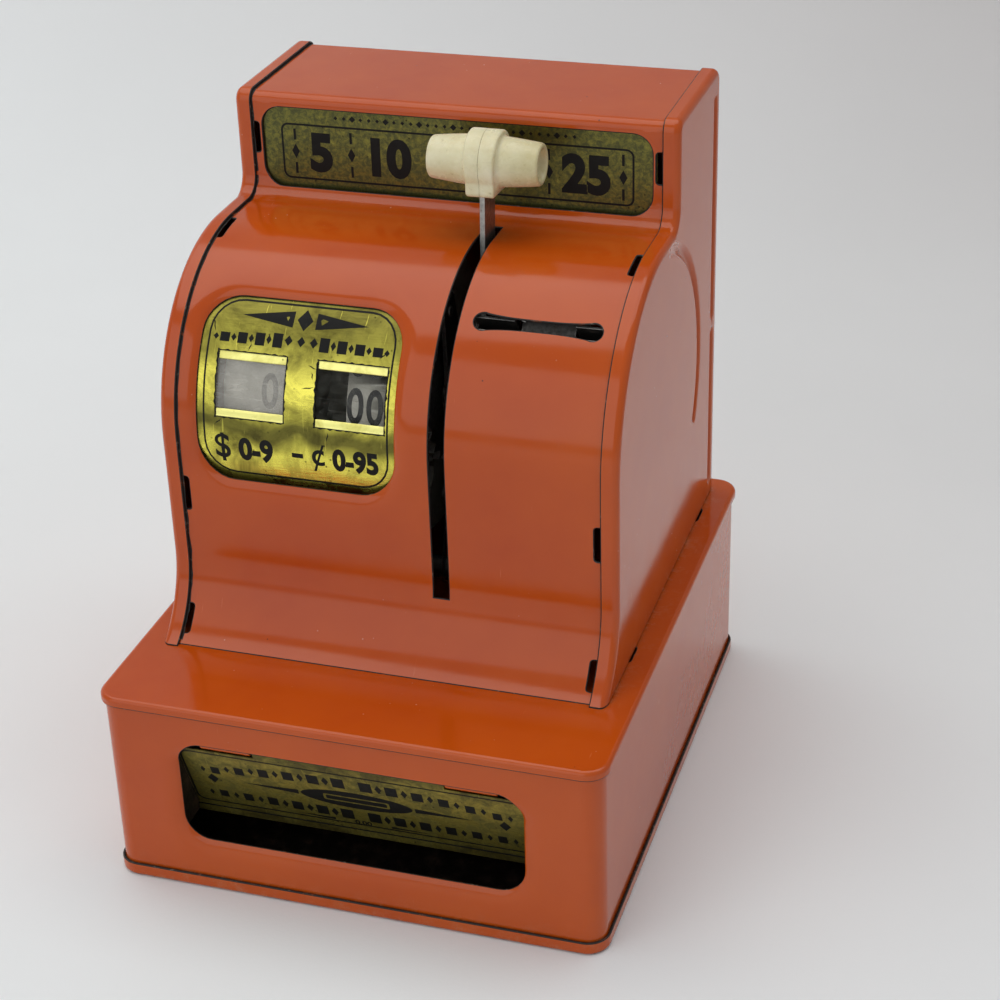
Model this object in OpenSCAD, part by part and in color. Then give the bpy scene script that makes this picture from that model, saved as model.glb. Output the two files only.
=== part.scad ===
// Coin register bank: a pressed-steel toy cash register that adds up the coins put in it.
// Front faces -Y, +X is to its right, +Z is up, and the origin is the middle of its footprint.

/* [Base] */
// Width of the base wall
base_w = 114; // [100:1:130]
// Depth of the base wall
base_d = 131; // [118:1:150]
// Height of the deck above the table
deck_z = 48; // [42:1:60]
// Radius of the base's upright corners
base_corner_r = 4.5; // [3:0.5:10]
// Thickness of the pressed sheet
sheet = 0.6; // [0.5:0.05:1]
// Height of the bottom pan's rim
pan_rim = 3.3; // [2.5:0.1:6]
// Depth of the deck's turned-down edge
deck_lip = 2.3; // [1.5:0.1:5]
// Free gap between two sheets that lap
lap_gap = 0.1; // [0.05:0.05:0.2]

/* [Base window and door] */
// Width of the window in the base
window_w = 79; // [60:1:90]
// Height of the window in the base
window_h = 26; // [20:0.5:30]
// Height of the window's lower edge
window_z = 12.5; // [10:0.5:16]
// Radius of the window's corners
window_r = 6; // [3:0.5:10]
// Lean of the door flap at rest, in degrees
door_lean = 22; // [10:1:30]
// Length of the leaning part of the door
door_len = 24; // [18:0.5:26]
// Height of the upright lip under it
door_lip = 3.3; // [2.8:0.1:7.5]
// Width of the door flap
door_w = 84; // [80:1:96]
// Radius of the door's hinge pin
door_pin_r = 0.7; // [0.6:0.05:0.9]

/* [Body] */
// Width over the two side panels
body_w = 104; // [94:1:108]
// Height of the whole bank
bank_h = 157.5; // [152:0.5:170]
// Step from the base's back edge to the body's back face
back_step = 4; // [1.5:0.5:7.5]
// Place of the register's axis behind the middle
axis_y = 6; // [2:0.5:8]
// Height of the register's axis
axis_z = 95; // [90:1:100]
// Radius of the round front
drum_r = 38.5; // [38:0.5:42]
// Height at which the front starts to flare to its foot
foot_top = 67; // [62:1:72]
// Radius of the flared foot
foot_r = 22; // [20:0.5:26]
// Place of the header's face behind the middle
header_y = 21; // [19:0.5:26]
// Radius of the hollow corner under the header
ledge_r = 4.5; // [3:0.5:6]
// Radius of the top edges
top_r = 3; // [2.5:0.25:5]
// Width of the side panels' turned-in edge
flange_w = 4; // [3:0.25:5]

/* [Openings in the front] */
// Width of the counter's opening
counter_w = 45.6; // [40:0.2:46]
// Height of the counter's opening, straight across
counter_h = 41; // [34:0.5:42]
// Middle of the counter's opening to the left of the middle
counter_x = 21; // [20.5:0.1:22.5]
// Rise of the counter's middle around the drum, in degrees
counter_rise = 19.5; // [16:0.1:21]
// Corner radius of the counter's opening
counter_r = 8; // [4:0.5:12]
// Depth by which the edges of the counter's and the base's openings are drawn in
drawn_in = 1.5; // [0.9:0.1:1.8]
// Width of each number window
number_w = 16; // [12:0.5:17]
// Height of each number window
number_h = 14.6; // [10:0.2:17]
// Length of the coin slot
coin_slot_len = 28; // [26:0.5:28.5]
// Height of the coin slot's narrow middle
coin_slot_gap = 2.4; // [2:0.1:3.5]
// Height of the coin slot's round ends
coin_slot_end = 4; // [3:0.1:5]
// Middle of the coin slot to the right of the middle
coin_slot_x = 30.9; // [30:0.1:31.5]
// Rise of the coin slot around the drum, in degrees
coin_slot_rise = 51; // [48:0.5:54]
// Width of the lever's slot
lever_slot_w = 3.4; // [2.6:0.1:5]
// Height of the lever slot's lower end
lever_slot_z = 63.5; // [62:0.5:66]
// Width of the header plate's opening
header_w = 91.4; // [80:0.2:92]
// Height of the header plate's opening
header_h = 18.3; // [14:0.1:18.5]
// Height of the header plate's middle
header_z = 144.6; // [143.5:0.1:145.5]
// Corner radius of the header plate's opening
header_r = 4.5; // [2:0.5:7]
// Thickness of the brass plates
brass = 0.4; // [0.3:0.05:0.6]

/* [Lever and handle] */
// Place of the lever to the right of the middle
lever_x = 11.8; // [11:0.1:12.2]
// Thickness of the lever's strip
lever_t = 1.2; // [1:0.1:1.6]
// Width of the lever's strip
lever_w = 7.5; // [5:0.5:9]
// Backward lean of the lever at rest, in degrees
lever_lean = 4; // [2:0.5:6]
// Distance from the register's axis to the handle
handle_dist = 54.8; // [54:0.2:55]
// Length of the handle
handle_len = 25.2; // [22:0.2:34]
// Radius of the handle's collar
collar_r = 6.9; // [6.7:0.1:7.8]
// Width of the handle's collar
collar_w = 7.4; // [7:0.2:12]
// Radius of each grip at the collar
grip_root_r = 5.6; // [5:0.1:6.6]
// Radius of each grip at its end
grip_end_r = 4.7; // [4:0.1:6]

/* [Register] */
// Radius of the main shaft
shaft_r = 2; // [1.5:0.1:2.4]
// Running clearance of turning pieces on their pins
run = 0.05; // [0.03:0.01:0.09]
// Radius of the number wheels
wheel_r = 33; // [30:0.5:34.5]
// Width of the cents wheel's rim
cents_w = 9.6; // [8:0.2:9.8]
// Width of the dollars wheel's rim
dollars_w = 15; // [12:0.5:15.4]
// Radius of the wheels' hubs
hub_r = 5; // [4.5:0.25:5.5]
// Teeth on the ratchet, one for each five cents
ratchet_teeth = 20; // [16:1:24]
// Radius over the ratchet's teeth
ratchet_r = 16; // [14:0.5:17]
// Size of the transfer gears' teeth, their pitch diameter per tooth
gear_size = 1; // [0.9:0.05:1.1]
// Radius of the bell gong
gong_r = 14; // [10:0.5:14.5]
// Clear gap in the coin chute
chute_gap = 2.6; // [2.2:0.1:3.2]
// Thickness of the mechanism's plates
plate_t = 1; // [0.8:0.1:1.2]

/* [Hidden] */
$fn = 64;
big = 400;

// Levels and faces that several pieces share
inner_x = body_w/2 - sheet;
wrap_out = sheet + lap_gap;
wrap_in = wrap_out + sheet;
plate_in = wrap_in + lap_gap;
drum_top = axis_z + drum_r;
deck_under = deck_z - sheet;
wall_front = -base_d/2;
deck_gap = lap_gap;
lower_edge = bank_h - 8;
body_back = base_d/2 - back_step;

// Colours as the photograph shows them
enamel = "orangered";
brass_colour = "darkkhaki";
steel = "slategray";
ivory = "ivory";
film_colour = "lightgray";
wheel_colour = "whitesmoke";

// Points along an arc, a0 to a1 in degrees
function arc(cy, cz, r, a0, a1, n) =
    [for (i = [0:n]) let (a = a0 + (a1 - a0)*i/n) [cy + r*cos(a), cz + r*sin(a)]];

// Side outline of the body, drawn t inside its outer face, down to the height low
foot_cy = axis_y - drum_r - foot_r;
function foot_angle(t, low) = -asin((foot_top - low)/(foot_r + t));
function body_outline(t, low = deck_z) = concat(
    arc(foot_cy, foot_top, foot_r + t, foot_angle(t, low), 0, 10),
    arc(axis_y, axis_z, drum_r - t, 180, 90, 18),
    arc(header_y - ledge_r, drum_top + ledge_r, ledge_r + t, -90, 0, 6),
    arc(header_y + top_r, bank_h - top_r, top_r - t, 180, 90, 6),
    arc(body_back - top_r, bank_h - top_r, top_r - t, 90, 0, 6),
    [[body_back - t, low]]);

// A shape drawn in Y and Z, extruded along X from x0 to x1
module across(x0, x1) {
    translate([x0, 0, 0]) rotate([90, 0, 90]) linear_extrude(x1 - x0) children();
}
// The space between the body's outline drawn t0 and t1 inside its outer face
module body_shell(x0, x1, t0, t1) {
    difference() {
        across(x0, x1) polygon(body_outline(t0));
        across(x0 - 1, x1 + 1) polygon(body_outline(t1, deck_z - 1));
    }
}
// Turns its children round the register's axis, so that -Y points out at the given rise
module at_drum(rise) {
    translate([0, axis_y, axis_z]) rotate([-rise, 0, 0]) children();
}
// A flat rectangle with round corners, about its middle
module round_rect(w, h, r) {
    k = min(r, w/2 - 0.01, h/2 - 0.01);
    square([w - 2*k, h], center = true);
    square([w, h - 2*k], center = true);
    for (x = [-1, 1], y = [-1, 1]) translate([x*(w/2 - k), y*(h/2 - k)]) circle(k);
}
// The same rectangle standing in X and Z, extruded along Y from y0 to y1
module upright_rect(w, h, r, y0, y1) {
    translate([0, y1, 0]) rotate([90, 0, 0]) linear_extrude(y1 - y0) round_rect(w, h, r);
}
// A rod along X
module rod(x0, x1, r, y = axis_y, z = axis_z) {
    translate([x0, y, z]) rotate([0, 90, 0]) cylinder(h = x1 - x0, r = r);
}
// Points of a wheel with n straight teeth, root and tip radii and half widths in degrees
function gear_points(n, root, tip, half_root, half_tip, turn = 0) = [for (i = [0:n - 1])
    let (c = 360*i/n + turn) each [
        [root*cos(c - half_root), root*sin(c - half_root)],
        [tip*cos(c - half_tip), tip*sin(c - half_tip)],
        [tip*cos(c + half_tip), tip*sin(c + half_tip)],
        [root*cos(c + half_root), root*sin(c + half_root)]]];
// A wire bent along a path, as one tube of 6 sides whose rings don't twist
function unit(v) = v/norm(v);
function carry(t, i, n) = i == len(t) ? [] : let (m = unit(n - (n*t[i])*t[i])) concat([m], carry(t, i + 1, m));
module wire(path, r) {
    last = len(path) - 1;
    along = [for (i = [0:last]) unit(path[min(i + 1, last)] - path[max(i - 1, 0)])];
    side = carry(along, 0, [0.3, 0.5, 0.8]);
    points = [for (i = [0:last], k = [0:5])
        path[i] + r*(cos(60*k)*side[i] + sin(60*k)*cross(along[i], side[i]))];
    faces = concat([[for (k = [5:-1:0]) k]],
        [for (i = [0:last - 1], k = [0:5], half = [0, 1]) let (a = 6*i + k, b = 6*i + (k + 1)%6)
            half == 0 ? [a, b, a + 6] : [b, b + 6, a + 6]],
        [[for (k = [0:5]) 6*last + k]]);
    polyhedron(points, [for (f = faces) [for (k = [len(f) - 1:-1:0]) f[k]]]);
}
// Points of a coil about the X axis, from angle a0 to a1 while X goes from x0 to x1
function coil(cy, cz, r, x0, x1, a0, a1) = let (n = ceil(abs(a1 - a0)/40))
    [for (i = [0:n]) let (a = a0 + (a1 - a0)*i/n) [x0 + (x1 - x0)*i/n, cy + r*cos(a), cz + r*sin(a)]];

// Base
pan_out = sheet + lap_gap;
module base_block(grow, z0, z1) {
    r = max(base_corner_r + grow, 0.3);
    translate([0, 0, z0]) linear_extrude(z1 - z0) round_rect(base_w + 2*grow, base_d + 2*grow, r);
}
module bottom_pan() color(enamel) difference() {
    base_block(pan_out, 0, pan_rim);
    base_block(lap_gap, sheet, pan_rim + 1);
}
knuckle_r = door_pin_r + 0.6;
hinge_y = wall_front + sheet + knuckle_r + 0.2;
hinge_z = window_z + window_h + 0.1;
tab_in = 0.26*window_w + 1.8;
tab_out = 0.43*window_w;
module window_cut(y0, y1) {
    translate([0, 0, window_z + window_h/2]) upright_rect(window_w, window_h, window_r, y0, y1);
}
// One knuckle of the wall's hinge tabs, with its leaf against the wall
module wall_knuckle(x0, x1) difference() {
    union() {
        rod(x0, x1, knuckle_r, hinge_y, hinge_z);
        translate([x0, wall_front + sheet/2, hinge_z + knuckle_r - sheet])
            cube([x1 - x0, hinge_y - wall_front - sheet/2, sheet]);
    }
    rod(x0 - 1, x1 + 1, door_pin_r + 0.02, hinge_y, hinge_z);
}
module base_wall() color(enamel) {
    difference() {
        base_block(0, sheet, deck_under);
        base_block(-sheet, sheet - 1, deck_under + 1);
        window_cut(wall_front - 1, wall_front + sheet + 1);
    }
    // Drawn-in edge of the window, left open above for the door
    difference() {
        translate([0, 0, window_z + window_h/2])
            upright_rect(window_w + 2*sheet, window_h + 2*sheet, window_r + sheet,
                wall_front + sheet/2, wall_front + drawn_in + sheet/2);
        window_cut(wall_front - 1, wall_front + 4*drawn_in);
        translate([-big/2, wall_front, window_z + window_h - 2*window_r]) cube([big, 10, 3*window_r]);
    }
    wall_knuckle(tab_in, tab_out);
    wall_knuckle(-tab_out, -tab_in);
}
// Screw places of the two mechanism frames: X, Y
frame_foot = 6;
left_frame_x = -body_w/2 + 7.4;
center_frame_x = lever_x + lever_t/2 + 2.2;
screw_y = [-2, 36];
screw_places = [for (y = screw_y, x = [left_frame_x, center_frame_x]) [x - frame_foot/2, y]];
screw_r = 1.2;
// Coins fall through here into the base
chute_w = coin_slot_len + 0.4;
chute_end_y = axis_y + (axis_z - deck_z)/tan(coin_slot_rise);
module drop_hole() {
    translate([coin_slot_x - chute_w/2 - 1, chute_end_y - 8, deck_z - 5]) cube([chute_w + 2, 14, 10]);
}
latch_x = left_frame_x + 2.6;
latch_t = 1.2;
latch_pivot_y = axis_y - 0.65*drum_r;
latch_pivot_z = deck_z + 0.21*drum_r;
foot_tab_y = [axis_y - 0.675*drum_r, body_back - 15.5];
module base_deck() color(enamel) difference() {
    base_block(deck_gap + sheet + 0.2, deck_z - deck_lip, deck_z);
    base_block(deck_gap, deck_z - deck_lip - 1, deck_under);
    drop_hole();
    for (p = screw_places) translate([p[0], p[1], deck_z - 3]) cylinder(h = 6, r = screw_r + 0.1);
    translate([latch_x - latch_t/2 - 0.7, latch_pivot_y - 5, deck_z - 3]) cube([latch_t + 1.4, 10, 6]);
    for (s = [-1, 1], y = foot_tab_y)
        translate([s*(body_w/2 - sheet/2) - sheet/2 - 0.1, y - 3.2, deck_z - 3]) cube([sheet + 0.2, 6.4, 6]);
}
// Upright gussets between the wall and the door, one beside each end of the window
cheek_x = door_w/2 - 1.6;
door_front = knuckle_r;
door_low_y = hinge_y + door_len*sin(door_lean);
door_low_z = hinge_z - door_len*cos(door_lean);
module door_cheeks() color(steel) for (s = [-1, 1]) {
    gap = 0.35;
    top = hinge_z - 3*knuckle_r;
    edge = door_front/cos(door_lean) + gap;
    across(s*cheek_x - sheet/2, s*cheek_x + sheet/2) polygon([
        [wall_front + sheet, top],
        [hinge_y + (hinge_z - top)*tan(door_lean) - edge, top],
        [door_low_y - edge, door_low_z],
        [door_low_y - edge, door_low_z - door_lip + 1],
        [wall_front + sheet, door_low_z - door_lip + 1]]);
}
module door_hinge_pin() color(steel) rod(-tab_out - 1, tab_out + 1, door_pin_r, hinge_y, hinge_z);
ear_len = 6;
module coin_door() color(brass_colour) {
    t = sheet;
    difference() {
        union() {
            rod(-tab_in + 0.3, tab_in - 0.3, knuckle_r, hinge_y, hinge_z);
            // Leaning plate with the lip under it, tangent to the knuckle's front
            across(-door_w/2, door_w/2) polygon(let (
                s = sin(door_lean), c = cos(door_lean), f = door_front, b = door_front - t,
                top = 2.2*knuckle_r) [
                [hinge_y + top*s - f*c, hinge_z - top*c - f*s],
                [hinge_y + top*s - b*c, hinge_z - top*c - b*s],
                [hinge_y + door_len*s - b*c, hinge_z - door_len*c - b*s],
                [hinge_y + door_len*s - b*c, hinge_z - door_len*c - door_lip],
                [hinge_y + door_len*s - f*c, hinge_z - door_len*c - door_lip],
                [hinge_y + door_len*s - f*c, hinge_z - door_len*c - f*s]]);
            across(-tab_in + 0.3, tab_in - 0.3) polygon(let (
                s = sin(door_lean), c = cos(door_lean), f = door_front, b = door_front - t, top = 3*knuckle_r) [
                [hinge_y - f*c, hinge_z - f*s],
                [hinge_y - b*c, hinge_z - b*s],
                [hinge_y + top*s - b*c, hinge_z - top*c - b*s],
                [hinge_y + top*s - f*c, hinge_z - top*c - f*s]]);
        }
        rod(-big/2, big/2, door_pin_r + run, hinge_y, hinge_z);
    }
    // Ear that lifts the latch, reached by an arm behind the wall's knuckle
    difference() {
        translate([latch_x - 1, hinge_y, hinge_z + door_front - 0.4]) cube([2, ear_len, 1]);
        rod(-big/2, big/2, door_pin_r + run, hinge_y, hinge_z);
    }
    across(latch_x - 1, latch_x + 1) polygon(let (s = sin(door_lean), c = cos(door_lean), f = door_front, b = -0.2) [
        [hinge_y - f*c, hinge_z - f*s - 0.1],
        [hinge_y - f, hinge_z + 0.3*f],
        [hinge_y - f/2, hinge_z + f],
        [hinge_y, hinge_z + door_front + 0.6],
        [hinge_y + 1, hinge_z + door_front + 0.6],
        [hinge_y + 1, hinge_z + door_front - 0.4],
        [hinge_y + 3*knuckle_r*s - b*c, hinge_z - 3*knuckle_r*c],
        [hinge_y + 3*knuckle_r*s - f*c, hinge_z - 3*knuckle_r*c - f*s]]);
}

// Body shells
groove_r = drum_r - 2;
groove_w = 4;
groove_d = 1.3;
back_groove_y = body_back - 4.8;
// Stamped grooves of a side panel, drawn in Y and Z and wider by grow
module groove_shape(grow) {
    translate([axis_y, axis_z]) difference() {
        circle(groove_r + groove_w/2 + grow);
        circle(groove_r - groove_w/2 - grow);
        polygon([[0, 0], [big*cos(66), big*sin(66)], [-big, big], [-big, -big], [big*cos(-26), big*sin(-26)]]);
    }
    for (span = [[deck_z + 5, axis_z - 2.5], [axis_z + 2.5, bank_h - 7]])
        translate([back_groove_y - groove_w/2 - grow, span[0] - grow])
            square([groove_w + 2*grow, span[1] - span[0] + 2*grow]);
}
// Boxes in Y and Z that hold the tabs by which the side panels hook into the wrapper: y0, y1, z0, z1
tab_boxes = [
    [-big, header_y + 3, deck_z + 2.2, deck_z + 6.7],
    [-big, header_y + 3, deck_z + 30, deck_z + 37.5],
    [axis_y - 9, axis_y - 1, drum_top - 6, drum_top + 3],
    [header_y - 2, header_y + 3, header_z - 1.5, header_z + 5]];
module tab_box(x0, x1, b, grow) {
    translate([x0, b[0] - grow, b[2] - grow]) cube([x1 - x0, b[1] - b[0] + 2*grow, b[3] - b[2] + 2*grow]);
}
module right_panel() {
    difference() {
        union() {
            across(inner_x, body_w/2) polygon(body_outline(0));
            across(inner_x - groove_d, inner_x) groove_shape(sheet/2);
            body_shell(body_w/2 - flange_w, body_w/2 - sheet/2, 0, sheet);
        }
        across(body_w/2 - groove_d, body_w/2 + 1) groove_shape(0);
    }
    // Tabs through the wrapper and through the deck
    for (b = tab_boxes) intersection() {
        body_shell(body_w/2 - flange_w - 0.6, body_w/2 - flange_w + 0.5, 0, wrap_in + 1);
        tab_box(0, big, b, 0);
    }
    for (y = foot_tab_y) {
        translate([inner_x, y - 3, deck_under - 1]) cube([sheet, 6, 1 + sheet*2]);
        translate([inner_x - 2.4, y - 3, deck_under - 1]) cube([2.4 + sheet, 6, sheet]);
    }
}
module right_side_panel() color(enamel) right_panel();
module left_side_panel() color(enamel) mirror([1, 0, 0]) right_panel();
module counter_cut(grow, y0, y1) {
    at_drum(counter_rise) translate([-counter_x, 0, 0])
        upright_rect(counter_w + 2*grow, counter_h + 2*grow, counter_r + grow, y0, y1);
}
module header_cut(grow, y0, y1) {
    translate([0, 0, header_z]) upright_rect(header_w + 2*grow, header_h + 2*grow, header_r + grow, y0, y1);
}
module coin_slot_cut() at_drum(coin_slot_rise) translate([coin_slot_x, 0, 0]) {
    end_x = (coin_slot_len - coin_slot_end)/2;
    // The long sides curve in from the round ends to the narrow middle
    side = [for (i = [-12:12])
        [end_x*i/12, coin_slot_gap/2 + 0.47*(coin_slot_end - coin_slot_gap)*pow(abs(i)/12, 3)]];
    rotate([90, 0, 0]) linear_extrude(drum_r + 5) {
        polygon(concat(side, [for (i = [24:-1:0]) [side[i][0], -side[i][1]]]));
        for (s = [-1, 1]) translate([s*end_x, 0]) circle(coin_slot_end/2);
    }
}
lever_slot_back = axis_y + 7.8;
module lever_slot_cut() {
    translate([lever_x - lever_slot_w/2, -big/2, lever_slot_z])
        cube([lever_slot_w, big/2 + lever_slot_back, drum_top + 2 - lever_slot_z]);
}
counter_lip_r = drum_r - wrap_out - drawn_in;
slot_mid = body_w/2 - flange_w - 0.35;
module front_wrapper() color(enamel) {
    wide = inner_x - lap_gap;
    difference() {
        union() {
            body_shell(-wide, wide, wrap_out, wrap_in);
            // Drawn-in edge of the counter's opening
            intersection() {
                counter_cut(sheet, -drum_r - 3, -drum_r/2);
                difference() {
                    rod(-counter_x - big/2, -counter_x + big/2, drum_r - wrap_out - sheet/2);
                    rod(-big, big, counter_lip_r);
                }
            }
        }
        counter_cut(0, -drum_r - 9, -drum_r/2);
        header_cut(0, 0, header_y + top_r + 3);
        coin_slot_cut();
        lever_slot_cut();
        for (s = [-1, 1], b = tab_boxes)
            tab_box(s*slot_mid - 1.05, s*slot_mid + 1.05, b, 0.3);
        translate([-big/2, header_y + top_r + 4, deck_z - 1]) cube([big, big, lower_edge - deck_z + 1]);
    }
}
module back_panel() color(enamel) {
    wide = inner_x - lap_gap;
    translate([-wide, body_back - plate_in - sheet, deck_z])
        cube([2*wide, sheet, bank_h - top_r - deck_z]);
    // Side edges turned in to stiffen the panel
    for (s = [-1, 1])
        translate([s*(inner_x - groove_d - 0.9) - sheet/2, body_back - plate_in - 5, deck_z])
            cube([sheet, 5, bank_h - top_r - deck_z - 4]);
}
module header_plate() color(brass_colour) {
    header_cut(1, header_y + plate_in, header_y + plate_in + brass);
}
// Number windows: cents and dollars, by the place of their middles in the counter's plate
cents_mid = -8.4;
dollars_mid = -31.6;
window_rise = 1.3;
plate_outer = counter_lip_r - lap_gap;
module number_cut(mid, grow) {
    at_drum(counter_rise + window_rise) translate([mid, 0, 0])
        upright_rect(number_w + 2*grow, number_h + 2*grow, 0.5, -drum_r - 3, -drum_r/2);
}
// A curved sheet just inside the wrapper, between two radii
module curved_sheet(outer, t) difference() {
    rod(-inner_x, inner_x, outer);
    rod(-inner_x - 1, inner_x + 1, outer - t);
}
module counter_plate() color(brass_colour) difference() {
    intersection() {
        curved_sheet(plate_outer, brass);
        counter_cut(1.4, -drum_r - 3, -drum_r/2);
    }
    number_cut(cents_mid, 0);
    number_cut(dollars_mid, 0);
    lever_slot_cut();
}
film_t = 0.25;
module number_film(mid) color(film_colour) intersection() {
    curved_sheet(plate_outer - brass - lap_gap, film_t);
    number_cut(mid, 0.8);
}
module dollars_window() number_film(dollars_mid);
module cents_window() number_film(cents_mid);

// Mechanism frames and shafts
// The bell hangs clear of the back panel, and the rear of the frames goes with it
gong_y = body_back - plate_in - sheet - 3.5 - gong_r;
gong_z = axis_z - 0.338*drum_r;
spacer_places = [[axis_y - 0.415*drum_r, deck_z + 0.26*drum_r],
    [gong_y - 1.9, deck_z + 0.26*drum_r], [gong_y + 4, axis_z + 0.13*drum_r]];
spacer_r = 2.5;
spacer_end_r = 1.3;
detent_at = 268;
detent_pivot_r = 26;
function around(r, a) = [axis_y + r*cos(a), axis_z + r*sin(a)];
detent_pivot = around(detent_pivot_r, detent_at);
hammer_pivot = [axis_y + 0.364*drum_r, deck_z + 0.364*drum_r];
pin_r = 1.2;
frame_outline = concat(
    [[gong_y + 7.9, deck_z], [gong_y + 10, axis_z + 0.235*drum_r], [gong_y + 1.9, axis_z + 0.34*drum_r]],
    [for (p = [[0.26, axis_z, 0.31], [-0.26, axis_z, 0.31], [-0.52, axis_z, -0.39], [-0.805, deck_z, 0.365],
        [-0.805, deck_z, 0]]) [axis_y + p[0]*drum_r, p[1] + p[2]*drum_r]]);
module frame_holes(places) for (p = places) rod(-big/2, big/2, p[2], p[0], p[1]);
module frame_plate(x, holes) difference() {
    union() {
        across(x, x + plate_t) polygon(frame_outline);
        translate([x - frame_foot, screw_y[0] - 8, deck_z])
            cube([frame_foot + plate_t, screw_y[1] - screw_y[0] + 16, plate_t]);
    }
    frame_holes(concat([[axis_y, axis_z, shaft_r]], [for (p = spacer_places) [p[0], p[1], spacer_end_r]], holes));
    for (y = screw_y) translate([x - frame_foot/2, y, deck_z - 1]) cylinder(h = 4, r = screw_r);
}
module left_frame() color(steel) frame_plate(left_frame_x, [[latch_pivot_y, latch_pivot_z, pin_r]]);
module center_frame() color(steel) frame_plate(center_frame_x, [
    [detent_pivot[0], detent_pivot[1], pin_r],
    [hammer_pivot[0], hammer_pivot[1], pin_r],
    [gong_y, gong_z, pin_r],
    for (p = chute_rivet_places) [p[0], p[1], pin_r]]);
module frame_spacers() color(steel) for (p = spacer_places) {
    rod(left_frame_x + plate_t, center_frame_x, spacer_r, p[0], p[1]);
    rod(left_frame_x - 0.6, center_frame_x + plate_t + 0.6, spacer_end_r, p[0], p[1]);
}
module frame_screws() color(steel) for (p = screw_places) {
    translate([p[0], p[1], deck_under - 1.5]) cylinder(h = 1.5, r = 2*screw_r);
    translate([p[0], p[1], deck_under - 1.5]) cylinder(h = 1.5 + sheet + plate_t + 1.5, r = screw_r);
}
module main_shaft() color(steel) {
    rod(left_frame_x - 0.8, center_frame_x + plate_t + 0.3, shaft_r);
    rod(left_frame_x - 0.8, left_frame_x, shaft_r + 1);
}

// Number wheels. Each has a rim with a web at one side and a hub that runs on the shaft
hub_gap = 0.4;
cents_right = cents_mid + number_w/2 - 0.2;
cents_left = cents_right - cents_w;
dollars_right = dollars_mid + number_w/2 - 0.4;
dollars_left = dollars_right - dollars_w;
ratchet_x = cents_right + 1.4;
ratchet_t = 1.6;
cents_hub_right = ratchet_x + ratchet_t + 0.8;
gear_t = 6;
gear_x = dollars_right + 0.5;
dollars_hub_right = gear_x + gear_t;
cents_hub_left = dollars_hub_right + hub_gap;
transfer_t = 2.6;
module wheel(rim0, rim1, web_x, hub0, hub1) difference() {
    union() {
        difference() {
            rod(rim0, rim1, wheel_r);
            rod(rim0 - 1, rim1 + 1, wheel_r - 1.2);
        }
        rod(web_x, web_x + plate_t, wheel_r - 0.5);
        rod(hub0, hub1, hub_r);
    }
    rod(hub0 - 1, hub1 + 1, shaft_r + run);
    for (a = [0:60:300]) translate([0, axis_y, axis_z]) rotate([a, 0, 0])
        rod(web_x - 1, web_x + plate_t + 1, 5, 0.6*wheel_r, 0);
}
// Transfer gears: the dollars wheel's ring, the pinion and the single tooth of the cents wheel
ring_teeth = 20;
pinion_teeth = 8;
ring_pitch_r = gear_size*ring_teeth/2;
pinion_pitch_r = gear_size*pinion_teeth/2;
transfer_dist = ring_pitch_r + pinion_pitch_r;
pinion_z = axis_z - transfer_dist;
tooth_up = 0.8*gear_size;
tooth_down = 1.1*gear_size;
half_tooth = 0.18*gear_size*180;
module dollars_wheel() color(wheel_colour) {
    wheel(dollars_left, dollars_right, dollars_left, left_frame_x + plate_t + 0.3, dollars_hub_right);
    difference() {
        translate([0, axis_y, axis_z]) across(gear_x, gear_x + gear_t) polygon(gear_points(ring_teeth,
            ring_pitch_r - tooth_down, ring_pitch_r + tooth_up, 1.3*half_tooth/ring_pitch_r,
            0.6*half_tooth/ring_pitch_r, 90));
        rod(gear_x - 1, gear_x + gear_t + 1, hub_r - 0.3);
    }
}
latch_disc_r = 20;
notch_d = 4;
module latch_disc() color(steel) difference() {
    rod(latch_x - latch_t/2, latch_x + latch_t/2, latch_disc_r);
    rod(-big/2, big/2, hub_r);
    translate([-big/2, axis_y - latch_disc_r - 1, axis_z - 2]) cube([big, notch_d + 1, 4]);
}
module cents_wheel() color(wheel_colour) {
    wheel(cents_left, cents_right, cents_right - plate_t, cents_hub_left, cents_hub_right);
    // Transfer boss with its tooth, kept clear of the pinion's tips
    boss_r = transfer_dist - pinion_pitch_r - tooth_up - 0.9;
    difference() {
        union() {
            rod(cents_hub_left + 0.3, cents_hub_left + 0.3 + transfer_t, boss_r - 0.8);
            translate([0, axis_y, axis_z]) rotate([27, 0, 0]) for (a = [-9, 9]) rotate([a, 0, 0])
                translate([cents_hub_left + 0.3, -0.6, -boss_r - 0.4]) cube([transfer_t, 1.2, 3]);
        }
        rod(cents_hub_left - 1, cents_hub_left + 6, hub_r - 0.3);
    }
}
ratchet_root = ratchet_r - 2.2;
module ratchet_wheel() color(steel) difference() {
    translate([0, axis_y, axis_z]) across(ratchet_x, ratchet_x + ratchet_t) polygon([
        for (i = [0:ratchet_teeth - 1]) let (a = 360*i/ratchet_teeth) each [
            [ratchet_root*cos(a), ratchet_root*sin(a)],
            [ratchet_r*cos(a + 1), ratchet_r*sin(a + 1)]]]);
    rod(-big/2, big/2, hub_r);
}
bracket_t = 0.8;
bracket_x = cents_left - 1.1 - bracket_t;
pinion_x = gear_x + 0.3;
pinion_end = bracket_x - 0.5;
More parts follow.
